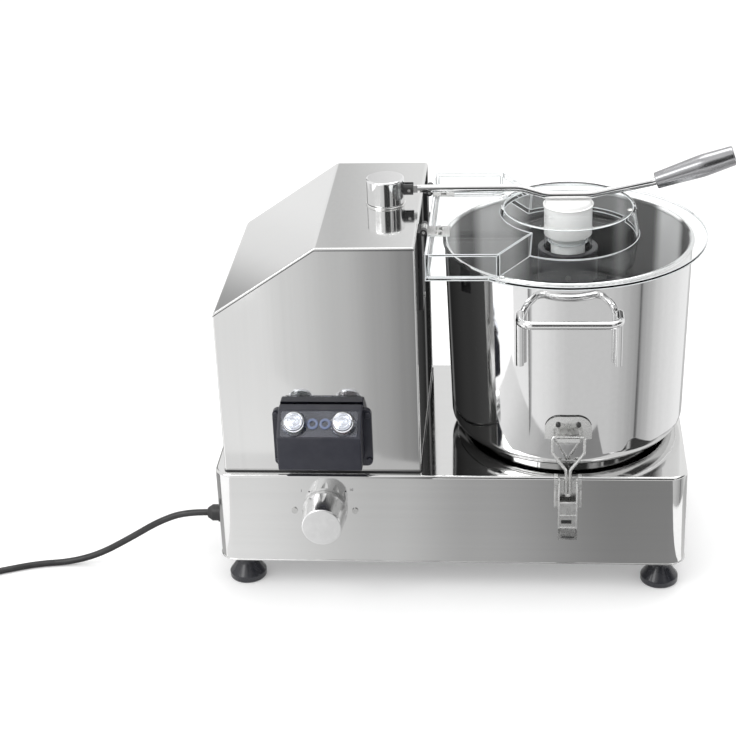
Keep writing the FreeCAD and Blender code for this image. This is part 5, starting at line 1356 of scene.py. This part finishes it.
@dataclass
class LidTrim:
    """Bright edges of the clear lid, which are pale beads of painted highlight, its cap and a rivet."""

    shop: Workshop
    axis_at: float = 98.7
    plateau: float = 382.0
    cap: Profile = ((0.0, -54.0), (15.6, -54.0), (17.4, -52.2), (17.4, -31.0), (24.0, -31.0), (24.4, -30.4),
                    (24.4, -0.4), (25.6, 0.15), (25.6, 1.0), (24.0, 1.3), (23.7, 3.6), (22.6, 5.0),
                    (20.4, 5.5), (0.0, 5.5))
    sleeve: Profile = ((22.9, -31.2), (24.3, -31.2), (24.3, -50.0), (22.9, -50.0))
    rivet: Profile = ((0, -3.2), (1.4, -3.2), (1.4, -0.1), (3.2, 0.0), (3.0, 0.9), (1.8, 1.7), (0, 2.0))
    rivet_at: Pair = (159.9, -18.0)
    bead: float = 0.5
    sharp: float = 28.0
    merge: float = 2e-6

    def build(self) -> None:
        """Makes the cap, the pale edge beads of painted highlight and the rivet."""
        at = (self.axis_at, 0, self.plateau)
        cap = Shape().turned(self.cap).moved(at).in_metres()
        self.shop.dress(cap.object("cap_plug", 35), "cap_white", "lid", ["lid_cap"])
        sleeve = Shape().turned(self.sleeve, closed=True).moved(at).in_metres()
        self.shop.dress(sleeve.object("cap_sleeve", 35), "lid_clear", "lid")
        rivet = Shape().turned(self.rivet, 28).moved((*self.rivet_at, self.plateau)).in_metres()
        self.shop.dress(rivet.object("lid_rivet", 35), "screw_steel", "lid")
        # opaque pale beads along the lid's sharp edges: painted highlight
        beads = Shape()
        for line, closed in self.sharp_lines("lid_shell"):
            beads.wire(line, self.bead * MM, closed=closed)
        self.shop.dress(beads.object("lid_edge_beads", 60), "lid_clear", "lid", finish="lid_edge_highlight")

    def sharp_lines(self, node: str) -> list[tuple[list[Vector], bool]]:
        """Follows the sharp edges of a node.

        Args:
            node: The node's name.

        Returns:
            The points of each run, and if it is a loop.
        """
        bm = bmesh.new()
        bm.from_mesh(frame["nodes"][node].data)
        bmesh.ops.remove_doubles(bm, verts=bm.verts, dist=self.merge)
        limit = math.radians(self.sharp)
        sharp = [e for e in bm.edges if len(e.link_faces) == 2 and e.calc_face_angle(0.0) > limit]
        left = set(sharp)
        ends = {}
        for edge in sharp:
            for vert in edge.verts:
                ends.setdefault(vert, []).append(edge)
        starts = sorted((v for v, edges in ends.items() if len(edges) != 2), key=lambda v: v.index)
        lines = []
        for start in starts + sorted(ends, key=lambda v: v.index):
            for edge in ends[start]:
                if edge not in left:
                    continue
                run, vert = [start], start
                while edge is not None:
                    left.discard(edge)
                    vert = edge.other_vert(vert)
                    run.append(vert)
                    edge = next((e for e in ends[vert] if e in left), None) if len(ends[vert]) == 2 else None
                closed = run[-1] is run[0] and len(run) > 3
                lines.append(([v.co.copy() for v in (run[:-1] if closed else run)], closed))
        bm.free()
        return lines


@dataclass
class BowlCutter:
    """The whole machine: solids that keep their shape, and new pieces."""

    shop: Workshop

    def build(self) -> None:
        """Dresses every node."""
        for node in sorted(frame["nodes"]):
            if node in ("power_cord", "cord_coil"):
                continue
            self.shop.paint(node, "rivet_dark" if node == "catch_rivets" else "")
        for part in (HousingTrim, SwitchTrim, BowlTrim, LatchTrim, LidTrim):
            part(self.shop).build()


def main() -> None:
    """Builds the studio and the machine."""
    logging.basicConfig(level=logging.INFO, format="%(message)s")
    Studio().build()
    shop = Workshop()
    MainsCord().build(shop)
    BowlCutter(shop).build()


if __name__ == "__main__":
    main()
